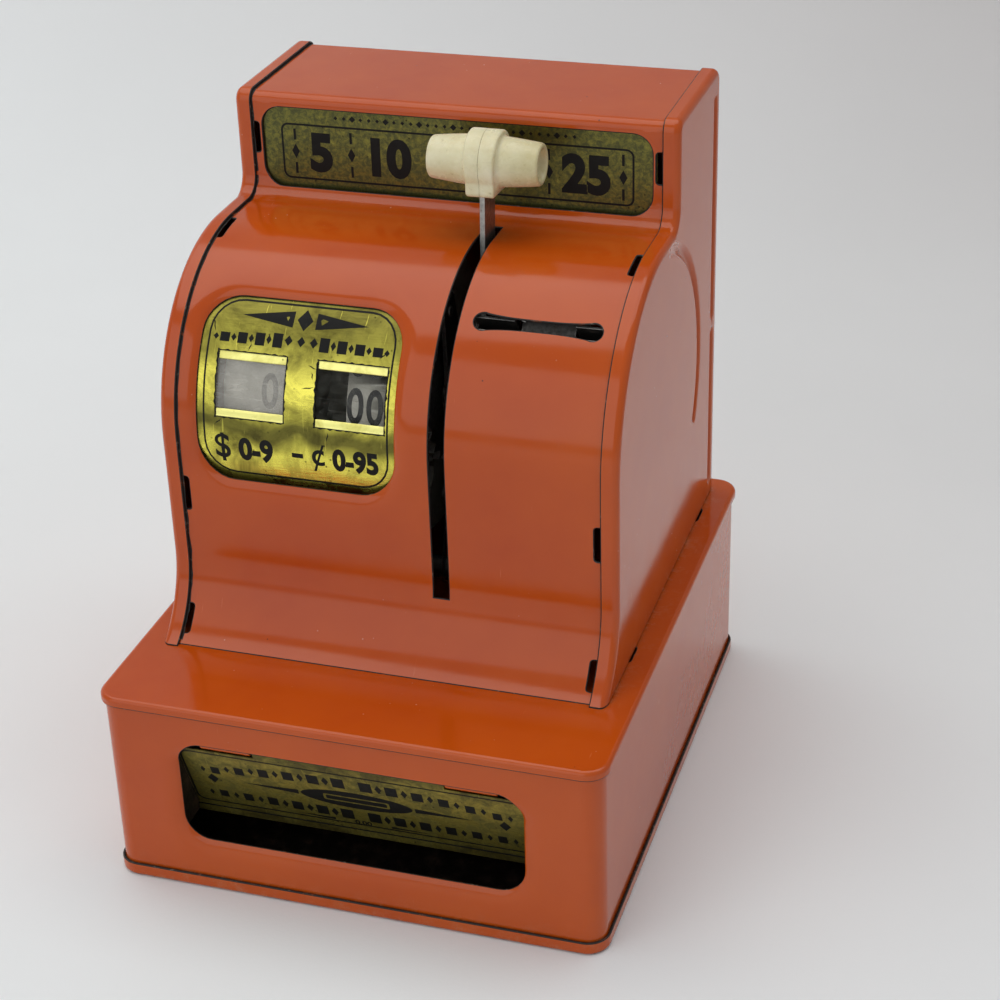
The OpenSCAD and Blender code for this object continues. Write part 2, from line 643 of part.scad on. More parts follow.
module transfer_bracket() color(steel) difference() {
    union() {
        across(bracket_x, bracket_x + bracket_t) polygon([
            [spacer_places[0][0] - 4, spacer_places[0][1] - 4], [spacer_places[1][0] + 4, spacer_places[1][1] - 4],
            [spacer_places[1][0] + 4, spacer_places[1][1] + 4], [axis_y + 5, pinion_z - 2],
            [axis_y - 5, pinion_z - 2], [spacer_places[0][0] - 4, spacer_places[0][1] + 4]]);
        rod(bracket_x, bracket_x + bracket_t, pin_r + 3.6, axis_y, pinion_z);
    }
    rod(-big/2, big/2, pin_r, axis_y, pinion_z);
    rod(-big/2, big/2, hub_r + 1);
    for (p = [spacer_places[0], spacer_places[1]]) rod(-big/2, big/2, spacer_r, p[0], p[1]);
}
module transfer_pin() color(steel) {
    rod(pinion_x - 0.5, bracket_x + bracket_t + 0.3, pin_r, axis_y, pinion_z);
    rod(pinion_x - 1, pinion_x - 0.4, pin_r + 0.8, axis_y, pinion_z);
}
module transfer_pinion() color(brass_colour) difference() {
    translate([0, axis_y, pinion_z]) across(pinion_x, pinion_end) polygon(gear_points(pinion_teeth,
        pinion_pitch_r - tooth_down, pinion_pitch_r + tooth_up, 1.3*half_tooth/pinion_pitch_r,
        0.6*half_tooth/pinion_pitch_r, 90 + 180/pinion_teeth));
    rod(-big/2, big/2, pin_r + run, axis_y, pinion_z);
}

// Latch of the door: its nose enters the latch disc's notch only when the wheels stand at nought
latch_leg = 4;
latch_foot_z = hinge_z + door_front + 1.0;
nose_gap = 3.6;
module latch_arm() color(steel) difference() {
    across(latch_x - latch_t/2, latch_x + latch_t/2) polygon([
        [latch_pivot_y - latch_leg/2, latch_foot_z + 2.6], [hinge_y + ear_len/2, latch_foot_z + 2.6],
        [hinge_y + ear_len/2, latch_foot_z], [latch_pivot_y + latch_leg/2, latch_foot_z],
        [latch_pivot_y + latch_leg/2, axis_z - 1.2], [axis_y - latch_disc_r - nose_gap, axis_z - 1.2],
        [axis_y - latch_disc_r - nose_gap, axis_z + 1.2], [latch_pivot_y - latch_leg/2, axis_z + 1.2]]);
    rod(-big/2, big/2, pin_r + run, latch_pivot_y, latch_pivot_z);
}
module latch_pin() color(steel) {
    rod(left_frame_x - 0.5, latch_x + latch_t/2 + 0.4, pin_r, latch_pivot_y, latch_pivot_z);
    rod(latch_x + latch_t/2 + 0.3, latch_x + latch_t/2 + 1, pin_r + 0.8, latch_pivot_y, latch_pivot_z);
}

// Lever with its hub, pawl and return spring
hub_left = cents_hub_right + hub_gap;
carrier_x = hub_left;
// Turns its children to the lever's direction at rest, so that +Z points along it
module along_lever() {
    translate([lever_x, axis_y, axis_z]) rotate([-lever_lean, 0, 0]) children();
}
finger_r = 11;
finger_turn = 98;
module lever_arm() color(steel) difference() {
    union() {
        rod(lever_x - lever_t/2, lever_x + lever_t/2, hub_r + 3);
        along_lever() translate([-lever_t/2, -lever_w/2, 0]) cube([lever_t, lever_w, handle_dist + 3]);
        // Finger that trips the bell's hammer
        along_lever() rotate([finger_turn, 0, 0]) translate([-lever_t/2, -1.5, 0])
            cube([lever_t, 3, finger_r]);
    }
    rod(-big/2, big/2, hub_r);
    along_lever() translate([0, 0, handle_dist]) rod(-5, 5, pin_r, 0, 0);
}
module lever_hub() color(steel) difference() {
    rod(hub_left, lever_x + lever_t/2 + 0.6, hub_r);
    rod(-big/2, big/2, shaft_r + run);
}
pawl_pivot_r = ratchet_r + 6;
pawl_at = 100;
pawl_pivot = around(pawl_pivot_r, pawl_at);
pawl_t = 1.4;
pawl_x = ratchet_x + (ratchet_t - pawl_t)/2;
module pawl_carrier() color(steel) difference() {
    union() {
        rod(carrier_x, carrier_x + plate_t, hub_r + 3);
        across(carrier_x, carrier_x + plate_t) polygon([around(hub_r + 2, pawl_at - 60),
            around(pawl_pivot_r + 3, pawl_at - 8), around(pawl_pivot_r + 3, pawl_at + 8),
            around(hub_r + 2, pawl_at + 60)]);
    }
    rod(-big/2, big/2, hub_r);
    rod(-big/2, big/2, pin_r, pawl_pivot[0], pawl_pivot[1]);
}
tip_gap = 0.4;
module drive_pawl() color(steel) difference() {
    union() {
        rod(pawl_x, pawl_x + pawl_t, pin_r + 1.5, pawl_pivot[0], pawl_pivot[1]);
        across(pawl_x, pawl_x + pawl_t) polygon([around(pawl_pivot_r + 2, pawl_at + 3),
            around(ratchet_r + 3.6, pawl_at + 22), around(ratchet_r + tip_gap, pawl_at + 34),
            around(ratchet_r + tip_gap + 0.6, pawl_at + 26), around(pawl_pivot_r - 2, pawl_at + 2)]);
    }
    rod(-big/2, big/2, pin_r + run, pawl_pivot[0], pawl_pivot[1]);
}
module drive_pawl_pin() color(steel) {
    rod(pawl_x - 0.2, carrier_x + plate_t + 0.3, pin_r, pawl_pivot[0], pawl_pivot[1]);
    rod(pawl_x - 0.8, pawl_x - 0.2, pin_r + 0.8, pawl_pivot[0], pawl_pivot[1]);
}
// Flat spring that presses the pawl down, fixed to the carrier's edge
module drive_pawl_spring() color(steel) {
    across(pawl_x + 0.2, carrier_x) polygon([around(pawl_pivot_r + 3, pawl_at - 8), around(pawl_pivot_r + 3.4, pawl_at - 8),
        around(pawl_pivot_r + 3.4, pawl_at - 2), around(pawl_pivot_r + 3, pawl_at - 2)]);
    across(pawl_x + 0.2, pawl_x + pawl_t - 0.2) polygon([around(pawl_pivot_r + 3, pawl_at - 8),
        around(pawl_pivot_r + 3.4, pawl_at - 8), around(pawl_pivot_r + 3.5, pawl_at + 8),
        around(ratchet_r + 4.8, pawl_at + 24), around(ratchet_r + 4.4, pawl_at + 24),
        around(pawl_pivot_r + 3.1, pawl_at + 8)]);
}
spring_wire = 0.4;
spring_r = hub_r + 1.2;
// Coil about the hub: one leg bears on the lever's front edge, the other hooks round the lower spacer
module lever_spring() color(steel) {
    c = [axis_y, axis_z];
    p = spacer_places[0];
    hook_r = spacer_r + spring_wire + 0.15;
    rise = c - p;
    low_at = atan2(rise[1], rise[0]) + acos((hook_r - spring_r)/norm(rise));
    tilt = asin((spring_r - lever_w/2 - spring_wire - 0.3)/14);
    leg_at = 180 - lever_lean - tilt;
    x1 = lever_x - lever_t/2 - 0.9;
    x0 = carrier_x + plate_t + 1;
    bend = [for (z = [14, 1]) [x1, c[0] + spring_r*cos(leg_at) + z*sin(leg_at), c[1] + spring_r*sin(leg_at) - z*cos(leg_at)]];
    top = [bend[0][0], bend[0][1] + 0.8*sin(leg_at), bend[0][2] - 0.8*cos(leg_at)];
    wire(concat(
        [top + [3.1, 0, 0], top + [0.7, 0, 0], top + [0.2, 0, -0.2]], bend,
        coil(c[0], c[1], spring_r, x1, x0, leg_at, low_at + 4*360),
        [for (a = [0:-30:-150]) [x0, p[0] + hook_r*cos(low_at - a), p[1] + hook_r*sin(low_at - a)]]), spring_wire);
}
module detent_pawl() color(steel) difference() {
    union() {
        rod(pawl_x, pawl_x + pawl_t, pin_r + 1.5, detent_pivot[0], detent_pivot[1]);
        across(pawl_x, pawl_x + pawl_t) polygon([around(detent_pivot_r + 2, detent_at + 4),
            around(ratchet_r + 5, detent_at + 26), around(ratchet_r + tip_gap, detent_at + 38),
            around(ratchet_r + tip_gap + 1.2, detent_at + 30), around(detent_pivot_r - 2.4, detent_at + 2)]);
    }
    rod(-big/2, big/2, pin_r + run, detent_pivot[0], detent_pivot[1]);
}
module detent_pin() color(steel) {
    rod(pawl_x - 0.2, center_frame_x + plate_t + 0.3, pin_r, detent_pivot[0], detent_pivot[1]);
    rod(pawl_x - 0.8, pawl_x - 0.2, pin_r + 0.8, detent_pivot[0], detent_pivot[1]);
}
// Flat spring under the detent, held by the lower rear spacer
module detent_spring() color(steel) across(pawl_x + 0.2, pawl_x + pawl_t - 0.2) {
    p = spacer_places[1] + [0.5, spacer_r + 0.05];
    tip = around(ratchet_r + 5.5, detent_at + 26);
    polygon([p, tip, tip + [0.25, 0.4], p + [0.25, 0.4]]);
}

// Handle: two moulded halves that clamp the end of the lever
handle_fit = 0.1;
module handle_form() {
    rotate([0, 90, 0]) {
        translate([0, 0, -collar_w/2]) cylinder(h = collar_w, r = collar_r);
        for (s = [0, 1]) mirror([0, 0, s]) translate([0, 0, collar_w/2 - 0.5])
            cylinder(h = (handle_len - collar_w)/2 + 0.5, r1 = grip_root_r, r2 = grip_end_r);
    }
    translate([-collar_w/2, -collar_r*0.8, -collar_r]) cube([collar_w, 1.6*collar_r, collar_r]);
}
dish_r = 0.68*grip_end_r;
module handle_half(side) color(ivory) along_lever() translate([0, 0, handle_dist]) difference() {
    handle_form();
    translate([side > 0 ? -big : 0, -big/2, -big/2]) cube([big, big, big]);
    translate([-lever_t/2 - handle_fit, -lever_w/2 - handle_fit, -big/2])
        cube([lever_t + 2*handle_fit, lever_w + 2*handle_fit, big/2 + 3 + handle_fit]);
    rod(-collar_w, collar_w, pin_r, 0, 0);
    // Dished end of the grip
    translate([side*handle_len/2, 0, 0]) rotate([0, 90, 0]) cylinder(h = 3, r = dish_r, center = true);
}
module handle_left_half() handle_half(-1);
module handle_right_half() handle_half(1);
module handle_rivet() color(steel) along_lever() translate([0, 0, handle_dist])
    rod(-collar_w + 1, collar_w - 1, pin_r, 0, 0);

// Bell
gong_x = lever_x - 6.6;
gong_d = 6.5;
module bell_gong() color(steel) translate([gong_x, gong_y, gong_z]) rotate([0, 90, 0]) difference() {
    rotate_extrude() polygon(concat([[0, 0]], [for (a = [0:10:90])
        [4 + (gong_r - 4)*sin(a), gong_d*(1 - cos(a))]], [[0, gong_d]]));
    translate([0, 0, 0.8]) rotate_extrude() polygon(concat([[0, 0]], [for (a = [0:10:90])
        [3.6 + (gong_r - 4.4)*sin(a), (gong_d)*(1 - cos(a))]], [[0, gong_d + 1]]));
    cylinder(h = 5, r = pin_r, center = true);
}
module gong_post() color(steel) difference() {
    rod(gong_x + 0.8, center_frame_x, 2.4, gong_y, gong_z);
    rod(gong_x, center_frame_x + 1, pin_r, gong_y, gong_z);
}
module gong_screw() color(steel) {
    rod(gong_x - 1.2, gong_x, 2.4, gong_y, gong_z);
    rod(gong_x - 1.2, center_frame_x + plate_t + 0.5, pin_r, gong_y, gong_z);
}
hammer_x = lever_x - 0.7;
hammer_t = 1.4;
head_r = 2;
head_y = gong_y - gong_r - head_r - 1.2;
head_z = gong_z;
tail_tip = around(finger_r + 1.4, -72);
module bell_hammer() color(steel) difference() {
    union() {
        rod(hammer_x, hammer_x + hammer_t, pin_r + 1.8, hammer_pivot[0], hammer_pivot[1]);
        across(hammer_x, hammer_x + hammer_t) {
            polygon([[hammer_pivot[0] - 1.6, hammer_pivot[1]], [hammer_pivot[0] + 1.2, hammer_pivot[1]],
                [tail_tip[0] + 1, tail_tip[1]], [tail_tip[0] - 0.8, tail_tip[1] - 0.4]]);
            polygon([[hammer_pivot[0] - 0.4, hammer_pivot[1]], [hammer_pivot[0] + 1.8, hammer_pivot[1]],
                [head_y + 0.8, head_z], [head_y - 0.8, head_z]]);
        }
    }
    rod(-big/2, big/2, pin_r + run, hammer_pivot[0], hammer_pivot[1]);
    rod(-big/2, big/2, 0.6, head_y, head_z - 1.2);
}
module hammer_head() color(steel) difference() {
    rod(gong_x + 1.5, hammer_x - 0, head_r, head_y, head_z);
    rod(gong_x + 1, gong_x + 2.5, 0.5, head_y, head_z);
}
module hammer_pin() color(steel) {
    rod(hammer_x - 0.4, center_frame_x + plate_t + 0.3, pin_r, hammer_pivot[0], hammer_pivot[1]);
    rod(hammer_x - 1, hammer_x - 0.3, pin_r + 0.8, hammer_pivot[0], hammer_pivot[1]);
}
// Coil about the hammer's pin: one leg bears on the hammer, the other ends at the frame
module hammer_spring() color(steel) {
    r = pin_r + 0.6;
    p = hammer_pivot;
    x0 = hammer_x + hammer_t + 0.4;
    x1 = center_frame_x - 0.5;
    wire(concat([[x0 - 1.2, p[0] + r + 1.6, p[1] + 6.4], [x0, p[0] + r + 1.4, p[1] + 5.8], [x0, p[0] + r + 0.1, p[1] + 1]],
        coil(p[0], p[1], r, x0, x1, 0, -2*360 - 180),
        [[x1, p[0] - r, p[1] - 1], [x1, p[0] - r, p[1] - 5], [center_frame_x - 0.05, p[0] - r, p[1] - 5.6]]), 0.2);
}

// Coin chute from the slot to the deck, drawn in the slot's own frame
chute_floor_top = -chute_gap/2;
chute_x0 = coin_slot_x - chute_w/2;
chute_x1 = coin_slot_x + chute_w/2;
chute_top = drum_r - wrap_in - 0.6;
chute_low = (axis_z - deck_z)/sin(coin_slot_rise) + 4;
ear_at = [-14, 20];
ear_z = -8;
chute_rivet_places = [for (y = ear_at) [axis_y + y*cos(coin_slot_rise) + ear_z*sin(coin_slot_rise),
    axis_z - y*sin(coin_slot_rise) + ear_z*cos(coin_slot_rise)]];
module above_deck() intersection() {
    children();
    translate([-big/2, -big/2, deck_z + 1.5]) cube(big);
}
module chute_floor() color(steel) above_deck() at_drum(coin_slot_rise) difference() {
    union() {
        translate([chute_x0 - sheet, -chute_top, chute_floor_top - sheet])
            cube([chute_w + 2*sheet, chute_top + chute_low, sheet]);
        for (x = [chute_x0 - sheet, chute_x1])
            translate([x, -chute_top + 3, chute_floor_top - sheet/2])
                cube([sheet, chute_top + chute_low - 3, chute_gap + sheet/2]);
        // Ears that lie against the centre frame
        for (y = ear_at) translate([center_frame_x + plate_t, y - 4, ear_z - 3])
            cube([sheet, 8, chute_floor_top - ear_z + 3 - sheet/2]);
        for (y = ear_at) translate([center_frame_x + plate_t, y - 4, chute_floor_top - sheet])
            cube([chute_x0 - center_frame_x - plate_t + sheet, 8, sheet]);
    }
    for (y = ear_at) rod(-big/2, big/2, pin_r, y, ear_z);
}
gauge_pin_y = -drum_r + 5.4;
gauge_pin_z = chute_gap/2 + 3.7;
gauge_w = 12;
gauge_mid = coin_slot_x + 1.1;
module chute_cover() color(steel) above_deck() at_drum(coin_slot_rise) difference() {
    union() {
        translate([chute_x0 - sheet, -chute_top, chute_gap/2])
            cube([chute_w + 2*sheet, chute_top + chute_low, sheet]);
        for (s = [-1, 1]) translate([gauge_mid + s*(gauge_w/2 + 1.6) - sheet/2, gauge_pin_y - 2, chute_gap/2])
            cube([sheet, 5, gauge_pin_z - chute_gap/2 + 1.6]);
    }
    translate([gauge_mid - gauge_w/2 - 0.6, -big, -big/2]) cube([gauge_w + 1.2, big + gauge_pin_y + 8, big]);
    rod(-big/2, big/2, 0.8, gauge_pin_y, gauge_pin_z);
}
module chute_rivets() color(steel) for (p = chute_rivet_places) {
    rod(center_frame_x - 0.5, center_frame_x + plate_t + sheet + 0.4, pin_r, p[0], p[1]);
}
// Feeler that lies across the chute's mouth and swings aside for a coin
module coin_gauge() color(steel) at_drum(coin_slot_rise) difference() {
    union() {
        rod(gauge_mid - gauge_w/2, gauge_mid + gauge_w/2, 1.6, gauge_pin_y, gauge_pin_z);
        across(gauge_mid - gauge_w/2, gauge_mid + gauge_w/2) polygon([[gauge_pin_y - 0.8, gauge_pin_z],
            [gauge_pin_y + 0.6, gauge_pin_z], [gauge_pin_y + 1.6, -0.6], [gauge_pin_y + 0.8, -0.9]]);
    }
    rod(-big/2, big/2, 0.8 + run, gauge_pin_y, gauge_pin_z);
}
module gauge_pin() color(steel) at_drum(coin_slot_rise)
    rod(gauge_mid - gauge_w/2 - 2.4, gauge_mid + gauge_w/2 + 2.4, 0.8, gauge_pin_y, gauge_pin_z);
// Coil about the feeler's pin: one leg lies on the feeler, the other on the chute's cover
module gauge_spring() color(steel) at_drum(coin_slot_rise) {
    r = 1.25;
    x0 = gauge_mid - gauge_w/2 - 0.3;
    wire(concat([[x0 + 1.2, gauge_pin_y - 1.1, gauge_pin_z - 2.4], [x0, gauge_pin_y - 1.25, gauge_pin_z - 2.2], [x0, gauge_pin_y - 1.25, gauge_pin_z - 0.5]],
        coil(gauge_pin_y, gauge_pin_z, r, x0, x0 - 0.7, 180, -360),
        [[x0 - 0.7, gauge_pin_y + r, gauge_pin_z - 0.6], [x0 - 0.7, gauge_pin_y + r + 0.1, gauge_pin_z - 2.4]]), 0.15);
}

bottom_pan();
base_wall();
base_deck();
door_cheeks();
door_hinge_pin();
coin_door();
left_side_panel();
right_side_panel();
front_wrapper();
back_panel();
header_plate();
counter_plate();
dollars_window();
cents_window();
left_frame();
center_frame();
frame_spacers();
frame_screws();
main_shaft();
dollars_wheel();
latch_disc();
cents_wheel();
ratchet_wheel();
transfer_bracket();
transfer_pin();
transfer_pinion();
latch_arm();
latch_pin();
lever_arm();
lever_hub();
pawl_carrier();
drive_pawl();
drive_pawl_pin();
drive_pawl_spring();
lever_spring();
detent_pawl();
detent_pin();
detent_spring();
handle_left_half();
handle_right_half();
handle_rivet();
bell_gong();
gong_post();
gong_screw();
bell_hammer();
hammer_head();
hammer_pin();
hammer_spring();
chute_floor();
chute_cover();
chute_rivets();
coin_gauge();
gauge_pin();
gauge_spring();
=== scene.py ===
"""Coin register bank: its looks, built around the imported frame.

Lengths are millimetres up to the pieces, and metres in materials, modifiers and the studio.
"""
import math

import bpy
import numpy as np
from mathutils import Matrix, Vector
from mathutils.geometry import delaunay_2d_cdt


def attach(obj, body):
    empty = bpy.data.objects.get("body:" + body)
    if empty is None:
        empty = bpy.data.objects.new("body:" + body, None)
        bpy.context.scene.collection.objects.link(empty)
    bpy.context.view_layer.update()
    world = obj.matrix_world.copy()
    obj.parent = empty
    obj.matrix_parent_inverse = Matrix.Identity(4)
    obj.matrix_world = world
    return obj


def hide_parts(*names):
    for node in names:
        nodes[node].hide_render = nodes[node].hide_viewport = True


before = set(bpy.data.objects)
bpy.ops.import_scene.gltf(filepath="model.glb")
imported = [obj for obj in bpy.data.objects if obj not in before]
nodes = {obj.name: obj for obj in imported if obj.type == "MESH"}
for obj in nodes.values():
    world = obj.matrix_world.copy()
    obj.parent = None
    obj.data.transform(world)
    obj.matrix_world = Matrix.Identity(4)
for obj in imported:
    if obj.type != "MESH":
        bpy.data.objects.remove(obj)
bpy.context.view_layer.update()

MM = 0.001

# Sizes shared with the frame
BASE_W = 114
BASE_D = 131
DECK_Z = 48
BASE_R = 4.5
SHEET = 0.6
BRASS = 0.4
RIM = SHEET/2
BODY_HALF = 52
BODY_TOP = 157.5
BODY_BACK = 61.5
AXIS_Y = 6
AXIS_Z = 95
DRUM_R = 38.5
FOOT_R = 22
FOOT_TOP = 67
HEADER_Y = 21
LEDGE_R = 4.5
TOP_R = 3
FLANGE_W = 4
WRAP_OUT = 0.7
WRAP_HALF = 51.3
COUNTER = dict(x=-21, rise=19.5, box=(45.6, 41, 8), draw=1.5, band=4.4)
HEADER = dict(z=144.6, box=(91.4, 18.3, 4.5))
WINDOW = dict(z=25.5, box=(79, 26, 6), draw=1.5, band=4.6)
STEEP = 78
COIN_SLOT = dict(x=30.9, rise=51, length=28, gap=2.4, end=4)
LEVER_SLOT = dict(x=11.8, w=3.4, low=63.5, back=13.8)
NUMBER_RISE = 20.8
NUMBER_W = 16
NUMBER_H = 14.6
CENTS_X = -8.4
DOLLARS_X = -31.6
NUMBER_EDGES = [(mid, way) for mid in (CENTS_X, DOLLARS_X) for way in (-1, 1)]
TAB_X = 47.65
WHEEL_R = 33
HINGE_Y = -63.4
HINGE_Z = 38.6
KNUCKLE_R = 1.3
CHEEK_X = 40.4
DOOR_LEAN = 22
DOOR_LENGTH = 24
DOOR_HALF = 42
TONGUE_HALF = 22.04


# Outlines and paths

def cos(degrees):
    return math.cos(math.radians(degrees))


def sin(degrees):
    return math.sin(math.radians(degrees))


def on_arc(cx, cy, r, degrees):
    return cx + r*cos(degrees), cy + r*sin(degrees)


def between(a, b, count):
    """Points from a towards b at equal steps, without b."""
    return [(a[0] + (b[0] - a[0])*k/count, a[1] + (b[1] - a[1])*k/count) for k in range(count)]


def dense(loop, step):
    """The closed loop with points put in, at most that far apart."""
    found = []
    for a, b in zip(loop, loop[1:] + loop[:1]):
        found += between(a, b, max(1, math.ceil(math.dist(a, b)/step)))
    return found


def spread(low, high, step):
    """Numbers from low to high, about that far apart."""
    count = max(1, round((high - low)/step))
    return [low + (high - low)*k/count for k in range(count + 1)]


def box_loop(xs, ys):
    """Points round a box, from its lowest corner along the first side."""
    return ([(x, ys[0]) for x in xs] + [(xs[-1], y) for y in ys[1:]] + [(x, ys[-1]) for x in xs[::-1][1:]]
            + [(xs[0], y) for y in ys[::-1][1:-1]])


def rounded(w, h, r, grow=0, step=2.6, corner=8):
    """Points round a rectangle with round corners, about its middle, wider by grow on every side."""
    x, y = w/2 - r, h/2 - r
    turns = [(x, y, 0), (-x, y, 90), (-x, -y, 180), (x, -y, 270)]
    points = []
    for (cx, cy, start), (nx, ny, turn) in zip(turns, turns[1:] + turns[:1]):
        points += [on_arc(cx, cy, r + grow, start + 90*k/corner) for k in range(corner + 1)]
        count = max(1, round(math.hypot(nx - cx, ny - cy)/step))
        points += between(points[-1], on_arc(nx, ny, r + grow, turn), count)[1:]
    return points


def to_rounded(x, y, w, h, r):
    """Distance from a point to the edge of that rectangle, positive outside it."""
    qx = abs(x) - w/2 + r
    qy = abs(y) - h/2 + r
    return math.hypot(max(qx, 0), max(qy, 0)) + min(max(qx, qy), 0) - r


class Path:
    """Round stretches joined by straight ones. Its left side is the outside of the sheet."""

    def __init__(self, arcs, start=None, end=None):
        self.parts = []
        self.length = 0
        last = start
        for cy, cz, r, a0, a1 in arcs:
            first = on_arc(cy, cz, r, a0)
            if last:
                self.add_line(last, first)
            self.parts.append((self.length, math.radians(abs(a1 - a0))*r, "arc", (cy, cz, r, a0, a1)))
            self.length += self.parts[-1][1]
            last = on_arc(cy, cz, r, a1)
        if end:
            self.add_line(last, end)

    def add_line(self, a, b):
        size = math.dist(a, b)
        if size > 1e-6:
            self.parts.append((self.length, size, "line", (a, ((b[0] - a[0])/size, (b[1] - a[1])/size))))
            self.length += size

    def at(self, s):
        """The point at that distance along the path, with its outward direction."""
        part = self.parts[0]
        for other in self.parts:
            if s >= other[0]:
                part = other
        start, _, kind, data = part
        if kind == "line":
            (y, z), (ty, tz) = data
            return y + ty*(s - start), z + tz*(s - start), -tz, ty
        cy, cz, r, a0, a1 = data
        sign = 1 if a1 > a0 else -1
        a = math.radians(a0) + sign*(s - start)/r
        return cy + r*math.cos(a), cz + r*math.sin(a), -math.cos(a)*sign, -math.sin(a)*sign

    def place(self, x, s, h):
        """A point of the body at that place across and that height over the sheet."""
        y, z, ny, nz = self.at(s)
        return x, y + ny*h, z + nz*h

    def rows(self, turn, step):
        """Distances at which the sheet gets a row of points."""
        found = []
        for start, size, kind, data in self.parts:
            count = math.ceil(size/step) if kind == "line" else math.ceil(abs(data[4] - data[3])/turn)
            found += [start + size*k/max(count, 1) for k in range(max(count, 1))]
        return found + [self.length]

    def find(self, want, low, high):
        """The distance between low and high at which want(y, z) turns from false to true."""
        for _ in range(40):
            mid = (low + high)/2
            y, z, _, _ = self.at(mid)
            low, high = (low, mid) if want(y, z) else (mid, high)
        return high


def foot_angle(t, low):
    return -math.degrees(math.asin((FOOT_TOP - low)/(FOOT_R + t)))


def body_arcs(t, low=DECK_Z):
    """The round stretches of the body's side outline, t inside its outer face."""
    return [(AXIS_Y - DRUM_R - FOOT_R, FOOT_TOP, FOOT_R + t, foot_angle(t, low), 0),
            (AXIS_Y, AXIS_Z, DRUM_R - t, 180, 90),
            (HEADER_Y - LEDGE_R, AXIS_Z + DRUM_R + LEDGE_R, LEDGE_R + t, -90, 0),
            (HEADER_Y + TOP_R, BODY_TOP - TOP_R, TOP_R - t, 180, 90),
            (BODY_BACK - TOP_R, BODY_TOP - TOP_R, TOP_R - t, 90, 0)]


def wrapped(points, x, s, radius):
    """Points drawn flat, as places across and distances along a sheet bent to that radius."""
    return [(x + px, s + radius*math.asin(py/radius)) for px, py in points]


def drum_place(radius, rise):
    """Maps a point drawn flat, with its middle at that rise round the drum, on to the drum."""
    def place(x, s, h):
        a = math.radians(rise) + s/radius
        return x, AXIS_Y - (radius + h)*math.cos(a), AXIS_Z + (radius + h)*math.sin(a)
    return place


# Sheets: a surface with its own normals, then both of its skins and a rounded rim

def inside(points, loop):
    """Which of the points lie inside the closed loop."""
    hit = np.zeros(len(points), bool)
    px, py = points[:, 0], points[:, 1]
    for (x0, y0), (x1, y1) in zip(loop, loop[1:] + loop[:1]):
        if y0 != y1:
            hit ^= ((y0 > py) != (y1 > py)) & (px < (x1 - x0)*(py - y0)/(y1 - y0) + x0)
    return hit


def fill(loops, borders, points=()):
    """Triangles between the loops and the single points: the corners, the triangles that an odd number of
    borders goes round, and which corner each given point became."""
    flat = [p for loop in loops for p in loop]
    links = []
    for loop in loops:
        first = len(links)
        links += [(first + i, first + (i + 1) % len(loop)) for i in range(len(loop))]
    out, _, tris, origin, _, _ = delaunay_2d_cdt([Vector(p) for p in [*flat, *points]], links, [], 0, 1e-6)
    middle = np.array([[sum(out[i][k] for i in t)/3 for k in (0, 1)] for t in tris], float)
    ok = np.zeros(len(tris), bool)
    for loop in borders:
        ok ^= inside(middle, loop)
    number = {old: new for new, olds in enumerate(origin) for old in olds}
    return out, [t for t, good in zip(tris, ok) if good], number


